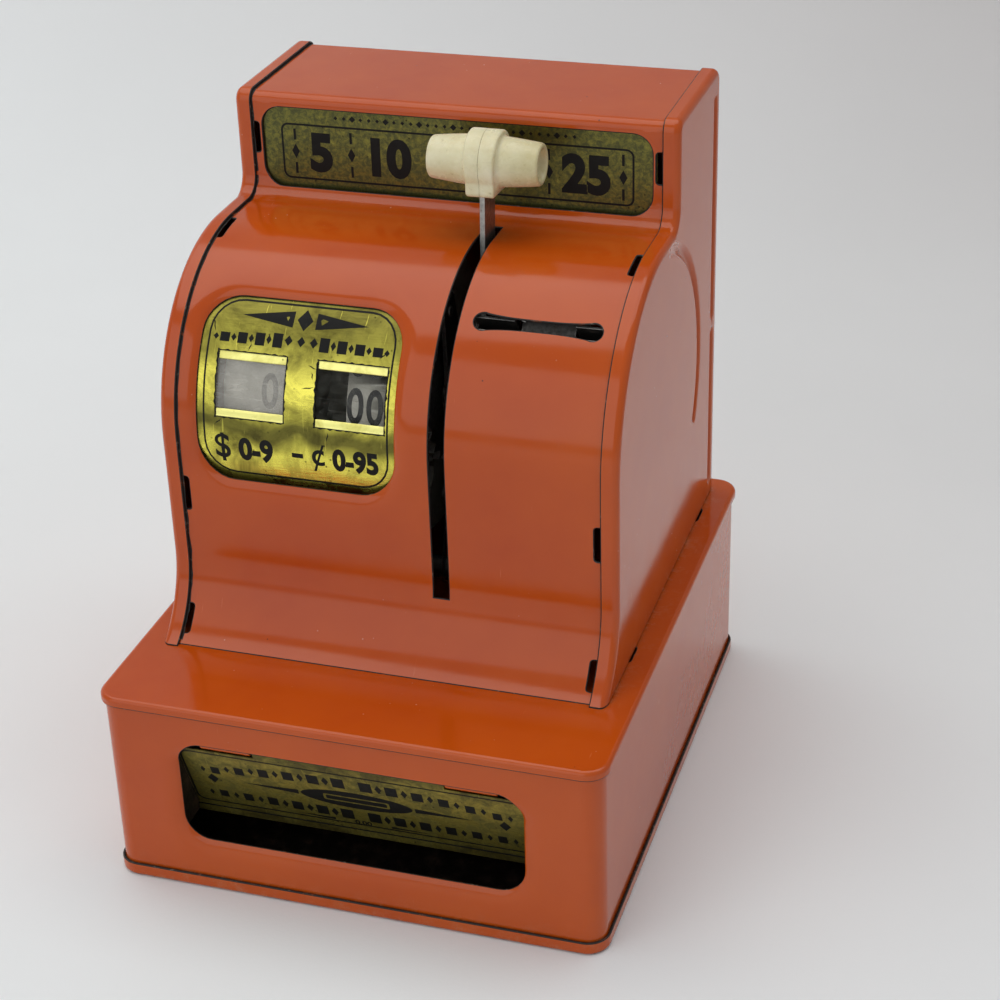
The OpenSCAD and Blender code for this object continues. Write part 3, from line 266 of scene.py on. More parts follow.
class Surface:
    """Points with normals, and faces."""

    def __init__(self):
        self.points = []
        self.normals = []
        self.faces = []

    def add(self, point, normal):
        self.points.append(point)
        self.normals.append(normal)
        return len(self.points) - 1

    def row(self, pairs):
        return [self.add(p, n) for p, n in pairs]

    def join(self, a, b, closed=False):
        """Faces between two rows of as many points."""
        count = len(a)
        for i in range(count if closed else count - 1):
            j = (i + 1) % count
            self.faces.append([a[i], a[j], b[j], b[i]])

    def loft(self, rows, closed=False):
        for a, b in zip(rows, rows[1:]):
            self.join(a, b, closed)

    def strip(self, path, rows, across):
        """A sheet along a path, with a row of points at each of those distances."""
        self.loft([self.row([((x, y, z), (0, ny, nz)) for x in across])
                   for y, z, ny, nz in map(path.at, rows)])

    def patch(self, edges, place, height=None, rows=(), across=(), margin=1, keep=()):
        """Meshes what lies inside the first edge and outside the others. An edge is a list of loops, the
        first at the border and the rest at steps into the sheet. Returns the first border's point numbers."""
        loops = [loop for edge in edges for loop in edge]
        extra = []
        if rows:
            fixed = np.array([p for loop in loops for p in loop], float)
            grid = np.array([(u, v) for v in rows for u in across], float)
            ok = inside(grid, edges[0][-1])
            for edge in edges[1:]:
                ok &= ~inside(grid, edge[-1])
            extra = [tuple(p) for p in grid[ok] if np.min(np.abs(fixed - p).max(axis=1)) > margin]
        out, tris, number = fill(loops, [edge[0] for edge in edges], [*extra, *keep])

        def at(u, v, more=0):
            return Vector(place(u, v, (height(u, v) if height else 0) + more))

        base = len(self.points)
        step = 0.02
        for u, v in out:
            here = at(u, v)
            du = at(u + step, v) - at(u - step, v)
            dv = at(u, v + step) - at(u, v - step)
            normal = du.cross(dv).normalized()
            self.add(here, normal if normal.dot(at(u, v, step) - here) >= 0 else -normal)
        self.faces += [[base + i for i in t] for t in tris]
        return [base + number[i] for i in range(len(edges[0][0]))]

    def solid(self, thick, steps=4):
        """Both skins and the rim: points, normals, faces, and how many faces come before the rim's."""
        used = sorted({i for f in self.faces for i in f})
        number = {old: new for new, old in enumerate(used)}
        points = [Vector(self.points[i]) for i in used]
        normals = [Vector(self.normals[i]).normalized() for i in used]
        faces = []
        for f in self.faces:
            f = [number[i] for i in f]
            area = sum((points[a].cross(points[b]) for a, b in zip(f, f[1:] + f[:1])), Vector())
            middle = sum((normals[i] for i in f), Vector())
            faces.append(f if area.dot(middle) > 0 else f[::-1])
        sides = {side for f in faces for side in zip(f, f[1:] + f[:1])}
        border = sorted((a, b) for a, b in sides if (b, a) not in sides)
        out = {i: Vector() for i in sorted({i for side in border for i in side})}
        for a, b in border:
            e = (points[b] - points[a]).normalized()
            for i in (a, b):
                out[i] += e.cross(normals[i])
        count = len(points)
        points += [p - n*thick for p, n in zip(points, normals)]
        normals += [-n for n in normals]
        faces += [[count + i for i in f[::-1]] for f in faces]
        rim_start = len(faces)
        rim = {}
        for i, way in out.items():
            n = normals[i]
            e = (way - n*way.dot(n)).normalized()
            middle = points[i] - n*(thick/2)
            rim[i] = [i, *range(len(points), len(points) + steps - 1), count + i]
            round_rim = [n*math.cos(math.pi*k/steps) + e*math.sin(math.pi*k/steps) for k in range(1, steps)]
            points += [middle + way*(thick/2) for way in round_rim]
            normals += round_rim
        for a, b in border:
            faces += [[rim[b][k], rim[a][k], rim[a][k + 1], rim[b][k + 1]] for k in range(steps)]
        return points, normals, faces, rim_start


def put(name, data):
    """Makes an object and links it."""
    obj = bpy.data.objects.new(name, data)
    bpy.context.scene.collection.objects.link(obj)
    return obj


def modify(obj, kind, **settings):
    made = obj.modifiers.new(kind.lower(), kind)
    for key, value in settings.items():
        setattr(made, key, value)


def piece(name, made, material, body, replaced=(), cut=None, lining=None):
    """Makes one object from points, normals and faces. The rim takes the cut material and the inner skin the
    lining, where they are given."""
    points, normals, faces, rim_start = made
    mesh = bpy.data.meshes.new(name)
    mesh.from_pydata([tuple(p*MM for p in point) for point in points], [], faces)
    mesh.polygons.foreach_set("use_smooth", [True]*len(mesh.polygons))
    mesh.update()
    if normals:
        mesh.normals_split_custom_set_from_vertices([tuple(n) for n in normals])
    obj = put(name, mesh)
    for used in filter(None, (material, cut, lining)):
        mesh.materials.append(used)
    if cut:
        skin = rim_start//2
        index = [0]*skin + [2 if lining else 0]*skin + [1]*(len(faces) - rim_start)
        mesh.polygons.foreach_set("material_index", index)
    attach(obj, body)
    if replaced:
        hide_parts(*replaced)
    return obj


def enamelled(name, surface, node, lining=None):
    piece(name, surface.solid(SHEET), ENAMEL, "housing", [node], cut=CUT_EDGE, lining=lining)


def drawn(d, band, depth):
    """How far a drawn-in edge lies below its sheet at distance d from the opening, STEEP where it ends."""
    if d >= band:
        return 0
    share = min((1 - d/band)*sin(STEEP), 0.9999)
    return -depth*(1 - math.cos(math.asin(share)))/(1 - cos(STEEP))


def drawn_steps(band, count=10):
    """Distances from the opening at which its drawn-in edge gets a loop of points."""
    steps = [band*(1 - sin(STEEP*(count - k)/count)/sin(STEEP)) for k in range(1, count)]
    return [RIM*0.6, *steps, band, band + 0.8]


# Materials

class Shader:
    """A material whose nodes are made by short calls."""

    def __init__(self, name, **sockets):
        self.material = bpy.data.materials.new(name)
        self.material.use_nodes = True
        self.tree = self.material.node_tree
        self.main = self.tree.nodes["Principled BSDF"]
        self.place = self.node("ShaderNodeTexCoord").outputs["Object"]
        for socket, value in sockets.items():
            self.main.inputs[socket.replace("_", " ")].default_value = value

    def node(self, kind, links=None, **settings):
        made = self.tree.nodes.new(kind)
        for key, value in settings.items():
            setattr(made, key, value)
        for key, value in (links or {}).items():
            self.feed(made.inputs[key], value)
        return made

    def feed(self, socket, value):
        if isinstance(value, bpy.types.NodeSocket):
            self.tree.links.new(value, socket)
        else:
            socket.default_value = value

    def noise(self, scale, detail=3, rough=0.55, place=None, twist=0):
        links = {"Vector": place or self.place, "Scale": scale, "Detail": detail, "Roughness": rough,
                 "Distortion": twist}
        return self.node("ShaderNodeTexNoise", links).outputs["Fac"]

    def streaks(self, x, y, z, detail=2, rough=0.5):
        """Noise of a scale for each direction, long where the scale is low."""
        place = self.node("ShaderNodeMapping", {"Vector": self.place, "Scale": (x, y, z)}).outputs[0]
        return self.noise(1, detail, rough, place)

    def cells(self, scale):
        return self.node("ShaderNodeTexVoronoi", {"Vector": self.place, "Scale": scale}).outputs["Distance"]

    def along(self, axis):
        return self.node("ShaderNodeSeparateXYZ", {0: self.place}).outputs[axis]

    def ramp(self, value, low, high, to_low=0, to_high=1):
        links = {"Value": value, "From Min": low, "From Max": high, "To Min": to_low, "To Max": to_high}
        return self.node("ShaderNodeMapRange", links).outputs[0]

    def math(self, kind, a, b=0):
        return self.node("ShaderNodeMath", {0: a, 1: b}, operation=kind).outputs[0]

    def times(self, a, b):
        return self.math("MULTIPLY", a, b)

    def plus(self, a, b):
        return self.math("ADD", a, b)

    def most(self, a, b):
        return self.math("MAXIMUM", a, b)

    def dot(self, a, b):
        return self.node("ShaderNodeVectorMath", {0: a, 1: b}, operation="DOT_PRODUCT").outputs["Value"]

    def rest(self, value):
        return self.math("SUBTRACT", 1, value)

    def mix(self, fac, a, b):
        return self.node("ShaderNodeMix", {0: fac, 6: a, 7: b}, data_type="RGBA").outputs[2]

    def paint(self, share, colour):
        """Lays a colour over what is there."""
        self.colour = self.mix(share, self.colour, colour)

    def corners(self, distance):
        """From 0 in the open to 1 deep in a corner."""
        seen = self.node("ShaderNodeAmbientOcclusion", {"Distance": distance}, samples=3).outputs["AO"]
        return self.rest(seen)

    def edges(self, radius):
        """From 0 on open faces to about 1 where the surface turns within that radius."""
        soft = self.node("ShaderNodeBevel", {"Radius": radius}, samples=2).outputs[0]
        hard = self.node("ShaderNodeNewGeometry").outputs["Normal"]
        return self.rest(self.dot(soft, hard))

    def bump(self, height, distance, strength=1, normal=None):
        links = {"Height": height, "Distance": distance, "Strength": strength}
        if normal:
            links["Normal"] = normal
        return self.node("ShaderNodeBump", links).outputs[0]

    def set(self, **sockets):
        for socket, value in sockets.items():
            self.feed(self.main.inputs[socket.replace("_", " ")], value)
        return self.material


def rgb(red, green, blue):
    """A display colour, 0 to 255, as the linear colour that shaders take."""
    return tuple(((c/255 + 0.055)/1.055)**2.4 if c > 10 else c/255/12.92 for c in (red, green, blue)) + (1,)


def enamel_material(name, grimy_and_shaded=True):
    """Glossy orange enamel: faint orange peel, dust, fine scratches, and darkening in the seams that is
    partly dirty build-up and partly painted shade.
    """
    m = Shader(name, IOR=1.46)
    cloud = m.ramp(m.noise(28, 4, 0.6), 0.35, 0.68)
    m.colour = m.mix(cloud, rgb(192, 80, 12), rgb(182, 70, 9))
    fade = m.ramp(m.noise(9, 2), 0.4, 0.75, 0, 0.35)
    m.paint(fade, rgb(196, 88, 22))
    # Rubbed paler along the edges that hands touch
    rubbed = m.ramp(m.edges(0.0012), 0.03, 0.2, 0, 0.35)
    worn = m.times(rubbed, m.ramp(m.noise(200, 4, 0.7), 0.35, 0.6))
    m.paint(worn, rgb(214, 118, 50))
    # Painted shade and dirty build-up: darker deep in corners and seams, found by occlusion, in patches,
    # weaker on the cleaner variant
    deep = m.ramp(m.corners(0.0022), 0.42, 0.9, 0, 0.9 if grimy_and_shaded else 0.2)
    patchy = m.ramp(m.noise(420, 5, 0.7), 0.36, 0.6)
    grime_and_shade = m.times(deep, patchy)
    m.paint(grime_and_shade, rgb(58, 40, 24))
    near = m.ramp(m.corners(0.009), 0.25, 0.7, 0, 0.4)
    film = m.times(near, m.ramp(m.noise(260, 6, 0.8), 0.5, 0.66))
    m.paint(film, rgb(196, 160, 120))
    dust = m.ramp(m.cells(420), 0.1, 0.02)
    sparse = m.ramp(m.noise(70, 2), 0.6, 0.68)
    specks = m.times(m.times(dust, sparse), 0.6)
    m.paint(specks, rgb(226, 206, 176))
    dark = m.times(m.ramp(m.cells(260), 0.06, 0.03), m.ramp(m.noise(46, 1), 0.62, 0.66))
    m.paint(dark, rgb(56, 32, 20))
    lines = m.streaks(1900, 160, 130)
    scratch = m.times(m.ramp(lines, 0.725, 0.77), m.ramp(m.noise(60, 2), 0.52, 0.62))
    m.paint(m.times(scratch, 0.35), rgb(222, 134, 80))
    rough = m.ramp(m.noise(120, 5, 0.65), 0.3, 0.75, 0.09, 0.18)
    rough = m.plus(rough, m.times(m.plus(grime_and_shade, m.plus(film, specks)), 0.35))
    peel = m.bump(m.noise(300, 1.5, 0.4), 0.000012, 0.5)
    grain = m.bump(m.noise(1500, 2, 0.5), 0.000004, 0.5, peel)
    fine = m.bump(m.plus(specks, scratch), 0.00003, 0.5, grain)
    return m.set(Base_Color=m.colour, Roughness=rough, Normal=fine)


def cut_edge_material():
    """Sheared edge of the sheet: bare steel gone dark, with paint hanging on in places."""
    m = Shader("cut_edge")
    patchy = m.ramp(m.noise(330, 4, 0.7), 0.6, 0.7)
    m.colour = m.mix(patchy, rgb(30, 25, 20), rgb(128, 62, 24))
    shine = m.ramp(m.noise(700), 0.62, 0.7, 0, 0.7)
    m.paint(shine, rgb(120, 110, 96))
    rough = m.ramp(shine, 0, 1, 0.62, 0.4)
    return m.set(Base_Color=m.colour, Roughness=rough, Metallic=m.times(shine, 0.5),
                 Normal=m.bump(m.noise(900), 0.00004, 0.5))


def brass_material(name, bright, dull, dirt_and_shade, share, rough, grain=85, shade_zones=()):
    """Old printed brass: blotches of tarnish, specks, fine scratches, and a darker tone along what covers it
    that is partly dirty build-up and partly painted shade.
    The darker bands, each a height, a half width and a strength in millimetres, are painted shade and painted
    dark reflection."""
    bright, dull, dirt_and_shade = rgb(*bright), rgb(*dull), rgb(*dirt_and_shade)
    m = Shader(name)
    blot = m.ramp(m.noise(grain, 6, 0.72, twist=0.6), 0.5 - 0.3*share, 0.76 - 0.3*share)
    height = m.along("Z")
    wander = m.ramp(m.noise(60), 0.3, 0.7, -2.5*MM, 2.5*MM)
    m.colour = m.mix(blot, bright, dull)
    # Painted shade and painted dark reflection: darker bands at set heights
    for z, half, strength in shade_zones:
        away = m.math("ABSOLUTE", m.math("SUBTRACT", m.plus(height, wander), z*MM))
        shade_band = m.ramp(away, half*MM, 0.2*half*MM, 0, strength)
        blot = m.most(blot, shade_band)
        m.paint(shade_band, dirt_and_shade)
    spots = m.times(m.ramp(m.cells(620), 0.2, 0.05), m.ramp(m.noise(150), 0.5, 0.62))
    m.paint(spots, dirt_and_shade)
    # Dirty grit in the corners, and painted shade: darker where occlusion finds edges and covers close by
    crumbs_and_shade = m.times(m.ramp(m.noise(900, 4, 0.7), 0.6, 0.7), m.ramp(m.corners(0.003), 0.2, 0.5))
    m.paint(m.most(crumbs_and_shade, m.ramp(m.corners(0.0016), 0.42, 0.85, 0, 0.85)), dirt_and_shade)
    lines = m.streaks(240, 2400, 2600, 3, 0.6)
    fine = m.ramp(lines, 0.3, 0.7)
    hair = m.ramp(m.streaks(2100, 180, 150), 0.7, 0.74)
    m.paint(m.times(hair, 0.5), bright)
    roughness = m.plus(m.ramp(blot, 0, 1, rough, rough + 0.16), m.times(fine, 0.06))
    metal = m.rest(m.times(blot, 0.3))
    waves = m.bump(m.noise(95, 2), 0.0003, 0.35)
    return m.set(Base_Color=m.colour, Roughness=roughness, Metallic=metal,
                 Normal=m.bump(m.plus(fine, hair), 0.00003, 0.5, waves))


def steel_material(name, tone, rough=0.34, rust=0.25):
    """Bare or plated steel: rolled grain, speckles and a little rust."""
    m = Shader(name)
    speck = m.noise(900, 4, 0.7)
    m.colour = m.mix(m.ramp(speck, 0.35, 0.7), tone, tuple(c*0.62 for c in tone[:3]) + (1,))
    rusty = m.times(m.ramp(m.noise(240, 6, 0.75), 0.62 - 0.2*rust, 0.74), 0.7)
    m.paint(rusty, rgb(92, 58, 36))
    grain = m.streaks(2200, 2200, 220, 3, 0.6)
    worn = m.ramp(m.edges(0.0004), 0.02, 0.25)
    m.paint(m.times(worn, 0.5), rgb(226, 224, 218))
    roughness = m.plus(m.ramp(speck, 0.3, 0.7, rough, rough + 0.22), m.times(rusty, 0.3))
    return m.set(Base_Color=m.colour, Roughness=roughness, Metallic=m.rest(rusty),
                 Normal=m.bump(m.plus(grain, speck), 0.00004, 0.6))


def ivory_material():
    """Moulded plastic gone creamy: faint mottling, darkening in its corners that is partly dirty build-up and
    partly painted shade, fine scratches.
    """
    m = Shader("ivory_plastic", Subsurface_Weight=0.12, Subsurface_Scale=0.002, IOR=1.46)
    m.main.inputs["Subsurface Radius"].default_value = (1, 0.7, 0.4)
    cloud = m.ramp(m.noise(130, 5, 0.65), 0.3, 0.72)
    m.colour = m.mix(cloud, rgb(236, 230, 196), rgb(216, 205, 158))
    # Painted shade with dirty build-up in the corners, found by occlusion
    dirt_and_shade = m.ramp(m.corners(0.0016), 0.35, 0.9, 0, 0.75)
    stain = m.times(m.ramp(m.noise(520, 4, 0.7), 0.62, 0.72), 0.35)
    m.paint(m.most(dirt_and_shade, stain), rgb(148, 124, 84))
    # The right grip is darker and yellower than the left: partly yellowed with age, partly painted shade on
    # the side away from the light
    right = m.ramp(m.along("X"), (LEVER_SLOT["x"] + 2.5)*MM, (LEVER_SLOT["x"] + 8)*MM, 0, 0.8)
    yellowing_and_shade = m.times(right, m.ramp(m.noise(230, 5, 0.7), 0.25, 0.75, 0.35, 1))
    m.paint(yellowing_and_shade, rgb(196, 184, 132))
    hair = m.ramp(m.streaks(220, 2300, 2300), 0.66, 0.72)
    rough = m.ramp(m.noise(300, 4), 0.3, 0.7, 0.2, 0.34)
    return m.set(Base_Color=m.mix(m.times(hair, 0.2), m.colour, rgb(180, 160, 120)), Roughness=rough,
                 Normal=m.bump(m.plus(hair, m.noise(700)), 0.00002, 0.4))


def ink_material():
    """Black printing ink, worn thin in places."""
    m = Shader("printed_ink", Specular_IOR_Level=0.2)
    worn = m.ramp(m.noise(620, 5, 0.75), 0.66, 0.76, 0, 0.6)
    rough = m.ramp(m.noise(500), 0.3, 0.7, 0.35, 0.55)
    return m.set(Base_Color=m.mix(worn, rgb(14, 14, 11), rgb(96, 92, 48)), Roughness=rough,
                 Normal=m.bump(m.noise(900), 0.00003, 0.5))


def wheel_material():
    """Pale grey paint on the number wheels."""
    m = Shader("wheel_paint")
    cloud = m.ramp(m.noise(160, 5, 0.7), 0.3, 0.7)
    m.colour = m.mix(cloud, rgb(190, 188, 176), rgb(166, 162, 146))
    m.paint(m.ramp(m.noise(600, 4, 0.7), 0.64, 0.74, 0, 0.6), rgb(92, 84, 70))
    return m.set(Base_Color=m.colour, Roughness=m.ramp(cloud, 0, 1, 0.5, 0.62),
                 Normal=m.bump(m.noise(800), 0.00004, 0.5))


def digit_material():
    """Dark grey print on the wheels."""
    m = Shader("digit_print")
    worn = m.ramp(m.noise(700, 4, 0.7), 0.55, 0.75, 0, 0.5)
    return m.set(Base_Color=m.mix(worn, rgb(40, 40, 38), rgb(104, 102, 94)), Roughness=0.55,
                 Normal=m.bump(m.noise(900, 2), 0.00002, 0.5))


def film_material(name, clear, tint):
    """Old celluloid: see-through, clouded and scratched."""
    m = Shader(name, IOR=1.3)
    cloud = m.ramp(m.noise(330, 6, 0.75, twist=0.4), 0.25, 0.8, -0.12, 0.12)
    hair = m.ramp(m.streaks(200, 2100, 2100, 3, 0.5), 0.6, 0.7, 0, 0.15)
    alpha = m.plus(m.plus(cloud, 1 - clear), hair)
    rough = m.ramp(m.noise(500, 4), 0.3, 0.7, 0.16, 0.34)
    colour = m.mix(m.ramp(m.noise(200, 4), 0.3, 0.7), tint, tuple(c*0.8 for c in tint[:3]) + (1,))
    return m.set(Base_Color=colour, Alpha=alpha, Roughness=rough,
                 Normal=m.bump(m.noise(260, 4), 0.0001, 0.5))


ENAMEL = enamel_material("orange_enamel")
# Enamel with less painted shade and less dirty build-up in its corners, for the tabs that curl round the
# hinge
CLEAN_LESS_SHADED_ENAMEL = enamel_material("clean_less_shaded_enamel", False)
CUT_EDGE = cut_edge_material()
HEADER_BRASS = brass_material("header_brass", (134, 128, 62), (80, 82, 46), (40, 40, 24), 0.6, 0.24, 900)
# The counter plate's two darker bands are painted: shade at its top under the drawn edge, and a dark
# reflection under the number windows
COUNTER_BRASS = brass_material("counter_brass", (238, 228, 98), (120, 112, 40), (38, 34, 14), 0.22, 0.2, 85,
                               ((AXIS_Z + 4, 4.8, 0.8), (AXIS_Z + 29, 16, 0.72)))
LIP_BRASS = brass_material("lip_brass", (250, 244, 150), (214, 204, 96), (60, 56, 24), 0.1, 0.3)
# The flap's low band is painted shade on its bent lip; the high band darkens the plate towards the hinge
DOOR_BRASS = brass_material("door_brass", (188, 172, 80), (112, 104, 48), (44, 34, 22), 0.6, 0.28, 300,
                            ((12.8, 2.6, 0.6), (38.4, 5, 0.6)))
PLAIN_BRASS = brass_material("plain_brass", (206, 182, 96), (140, 120, 62), (60, 48, 28), 0.3, 0.25)
STEEL = steel_material("bare_steel", rgb(178, 176, 170))
DARK_STEEL = steel_material("dark_steel", rgb(104, 102, 98), 0.42, 0.4)
# Dark bare steel for inner skins and cheeks, kept this dark as painted shade for the inside seen through the
# window
SHADED_LINING = steel_material("bare_lining_shaded", rgb(70, 62, 54), 0.5, 0.6)
SPRING_STEEL = steel_material("spring_steel", rgb(150, 148, 144), 0.26, 0.1)
BELL_STEEL = steel_material("bell_plating", rgb(208, 206, 200), 0.16, 0.05)
IVORY = ivory_material()
INK = ink_material()
WHEEL = wheel_material()
DIGIT = digit_material()
CLOUDY_FILM = film_material("cloudy_film", 0.74, rgb(236, 232, 220))
CLEAR_FILM = film_material("clear_film", 0.93, rgb(120, 120, 110))


# Base

def base_loop(grow, z, tilt):
    """A closed row round the base at height z, with its normals."""
    x, y = BASE_W/2 - BASE_R, BASE_D/2 - BASE_R
    found = []
    for px, py in rounded(BASE_W, BASE_D, BASE_R, grow, 4):
        way = Vector((px - max(min(px, x), -x), py - max(min(py, y), -y), 0)).normalized()
        found.append(((px, py, z), way*cos(tilt) + Vector((0, 0, sin(tilt)))))
    return found


def make_wall():
    # Clockwise from the seam in the middle of the back
    x, y, r = BASE_W/2 - BASE_R, BASE_D/2 - BASE_R, BASE_R
    back = (0, BASE_D/2)
    turns = [(x, y, r, 90, 0), (x, -y, r, 0, -90), (-x, -y, r, -90, -180), (-x, y, r, 180, 90)]
    path = Path(turns, back, back)
    low, high = 0.6 + RIM, DECK_Z - SHEET - RIM
    front = path.length/2
    seam, end = 0.02, path.length - 0.02
    alongs = [u for u in path.rows(10, 5) if seam < u < end]
    border = box_loop([seam, *(u for u in alongs if seam + 1 < u < end - 1), end], spread(low, high, 5))

    def height(u, z):
        depth = WINDOW["draw"]*min(1, max(0, (36.5 - z)/4))
        return drawn(to_rounded(front - u, z - WINDOW["z"], *WINDOW["box"]), WINDOW["band"], depth)

    def place(u, z, h):
        z, x, y = path.place(z, u, h)
        return x, y, z

    window = [[(front - x, WINDOW["z"] + z) for x, z in rounded(*WINDOW["box"], d)]
              for d in drawn_steps(WINDOW["band"])]
    wall = Surface()
    wall.patch([[border], window], place, height, spread(low, high, 5), alongs)
    enamelled("wall_sheet", wall, "base_wall", SHADED_LINING)
    # The two tabs that curl round the hinge pin
    r = KNUCKLE_R + 0.22
    curl = Path([(HINGE_Y, HINGE_Z - 0.3, r, 85, -180)], None, (HINGE_Y - r, HINGE_Z + 1))
    tab_in, tab_out = 0.26*WINDOW["box"][0] + 2.05, 0.43*WINDOW["box"][0] - 0.25
    for side, x0, x1 in (("left", -tab_out, -tab_in), ("right", tab_in, tab_out)):
        tab = Surface()
        tab.strip(curl, curl.rows(12, 0.5), spread(x0, x1, 2))
        piece(f"wall_tab_{side}", tab.solid(0.5), CLEAN_LESS_SHADED_ENAMEL, "housing")


def make_cheeks():
    """The two gussets beside the flap, with room in front for the window's drawn-in edge."""
    front = -BASE_D/2 + SHEET + WINDOW["draw"] + 0.3
    edge = KNUCKLE_R/cos(DOOR_LEAN) + 0.35
    top = HINGE_Z - (front + edge - HINGE_Y)/math.tan(math.radians(DOOR_LEAN))
    low_y, low_z = HINGE_Y + DOOR_LENGTH*sin(DOOR_LEAN) - edge, HINGE_Z - DOOR_LENGTH*cos(DOOR_LEAN)
    loop = dense([(front, top), (low_y, low_z), (low_y, low_z - 2.3), (front, low_z - 2.3)], 2)
    cheeks = Surface()
    for side in (-1, 1):
        cheeks.patch([[loop]], lambda y, z, h: (side*(CHEEK_X - SHEET/2 - h), y, z))
    # The cheeks take the dark lining: bare steel, darkened as painted shade beside the flap
    piece("cheek_pair", cheeks.solid(SHEET), SHADED_LINING, "housing", ["door_cheeks"])


def base_shell(name, node, z, way, edge, grow, end, step, holes=()):
    """A flat sheet over the base at height z, rolled down (way 1) or up (way -1) all round as far as end."""
    more = grow - edge
    border = rounded(BASE_W + 2*more, BASE_D + 2*more, BASE_R + more, 0, 4)
    shell = Surface()
    rows = [shell.patch([[border], *holes], lambda x, y, h: (x, y, z + way*h), None, spread(-60, 60, step),
                        spread(-52, 52, step), 1.5)]
    for a in range(18, 91, 18):
        rows.append(shell.row(base_loop(more + edge*sin(a), z - way*edge*(1 - cos(a)), way*(90 - a))))
    rows.append(shell.row(base_loop(grow, end, 0)))
    shell.loft(rows, True)
    enamelled(name, shell, node, SHADED_LINING)


def make_deck_and_pan():
    holes = [(COIN_SLOT["x"], 43.06, 30.4, 14), (-42, -19, 2.6, 10)]
    holes += [(side*51.7, y, 0.9, 6.5) for side in (-1, 1) for y in (-20, 46)]
    holes = [[[(x + px, y + py) for px, py in rounded(w - 2*RIM, d - 2*RIM, 0.4, 2*RIM, 4, 3)]]
             for x, y, w, d in holes]
    base_shell("deck_sheet", "base_deck", DECK_Z, 1, 1.1, SHEET + 0.3, DECK_Z - 2.3 + RIM, 5, holes)
    base_shell("pan_sheet", "bottom_pan", 0, -1, 0.9, 0.7, 3.3 - RIM, 6)


def door_path():
    """The flap's sheet from lip to knuckle, the height of its bend, and where its tongue begins."""
    c, s = cos(DOOR_LEAN), sin(DOOR_LEAN)
    bend_y = HINGE_Y + DOOR_LENGTH*s - KNUCKLE_R*c
    bend_z = HINGE_Z - DOOR_LENGTH*c - KNUCKLE_R*s
    # The bend between lip and plate is round, centred behind the sheet
    r, lip = 1.2, 2.8
    bend = (bend_y + r, bend_z - r*math.tan(math.radians(DOOR_LEAN/2)), r, 180, 180)
    path = Path([bend, (HINGE_Y, HINGE_Z, KNUCKLE_R, 180 + DOOR_LEAN, -60)], (bend_y, bend_z - lip + RIM))
    return path, bend_z, path.length - (math.radians(240 + DOOR_LEAN) + 1.6)*KNUCKLE_R


def make_door():
    path, bend_z, shoulder = door_path()
    # The plate narrows to the tongue that curls round the pin
    a, b, top = DOOR_HALF - RIM, TONGUE_HALF - RIM, shoulder - RIM
    rows = path.rows(10, 3)
    ups = [s for s in rows if RIM < s < top]
    more = [s for s in rows if s > top + 0.2]
    border = [(x, RIM) for x in spread(-a, a, 4)]
    border += [(a, s) for s in ups[1:]] + [(x, top) for x in spread(a, b, 3)]
    border += [(b, s) for s in more] + [(x, more[-1]) for x in spread(b, -b, 4)[1:]]
    border += [(-b, s) for s in more[::-1][1:]] + [(x, top) for x in spread(-b, -a, 3)]
    border += [(-a, s) for s in ups[::-1][:-1]]
    door = Surface()
    door.patch([[border]], path.place, None, rows, spread(-40, 40, 4), 0.8)
    piece("door_plate", door.solid(SHEET - 0.05), DOOR_BRASS, "door", ["coin_door"])
    # Ear that reaches over the hinge to the latch
    ear = Surface()
    bent = Path([(HINGE_Y, HINGE_Z, KNUCKLE_R + 0.35, 190, 100)],
                (HINGE_Y - 1.1, HINGE_Z - 3.2), (HINGE_Y + 5.6, HINGE_Z + KNUCKLE_R + 0.35))
    ear.strip(bent, bent.rows(15, 1.2), (-42.8, -42, -41.2))
    piece("door_ear", ear.solid(0.55), PLAIN_BRASS, "door", ())
    return path.place, bend_z, shoulder


# Body

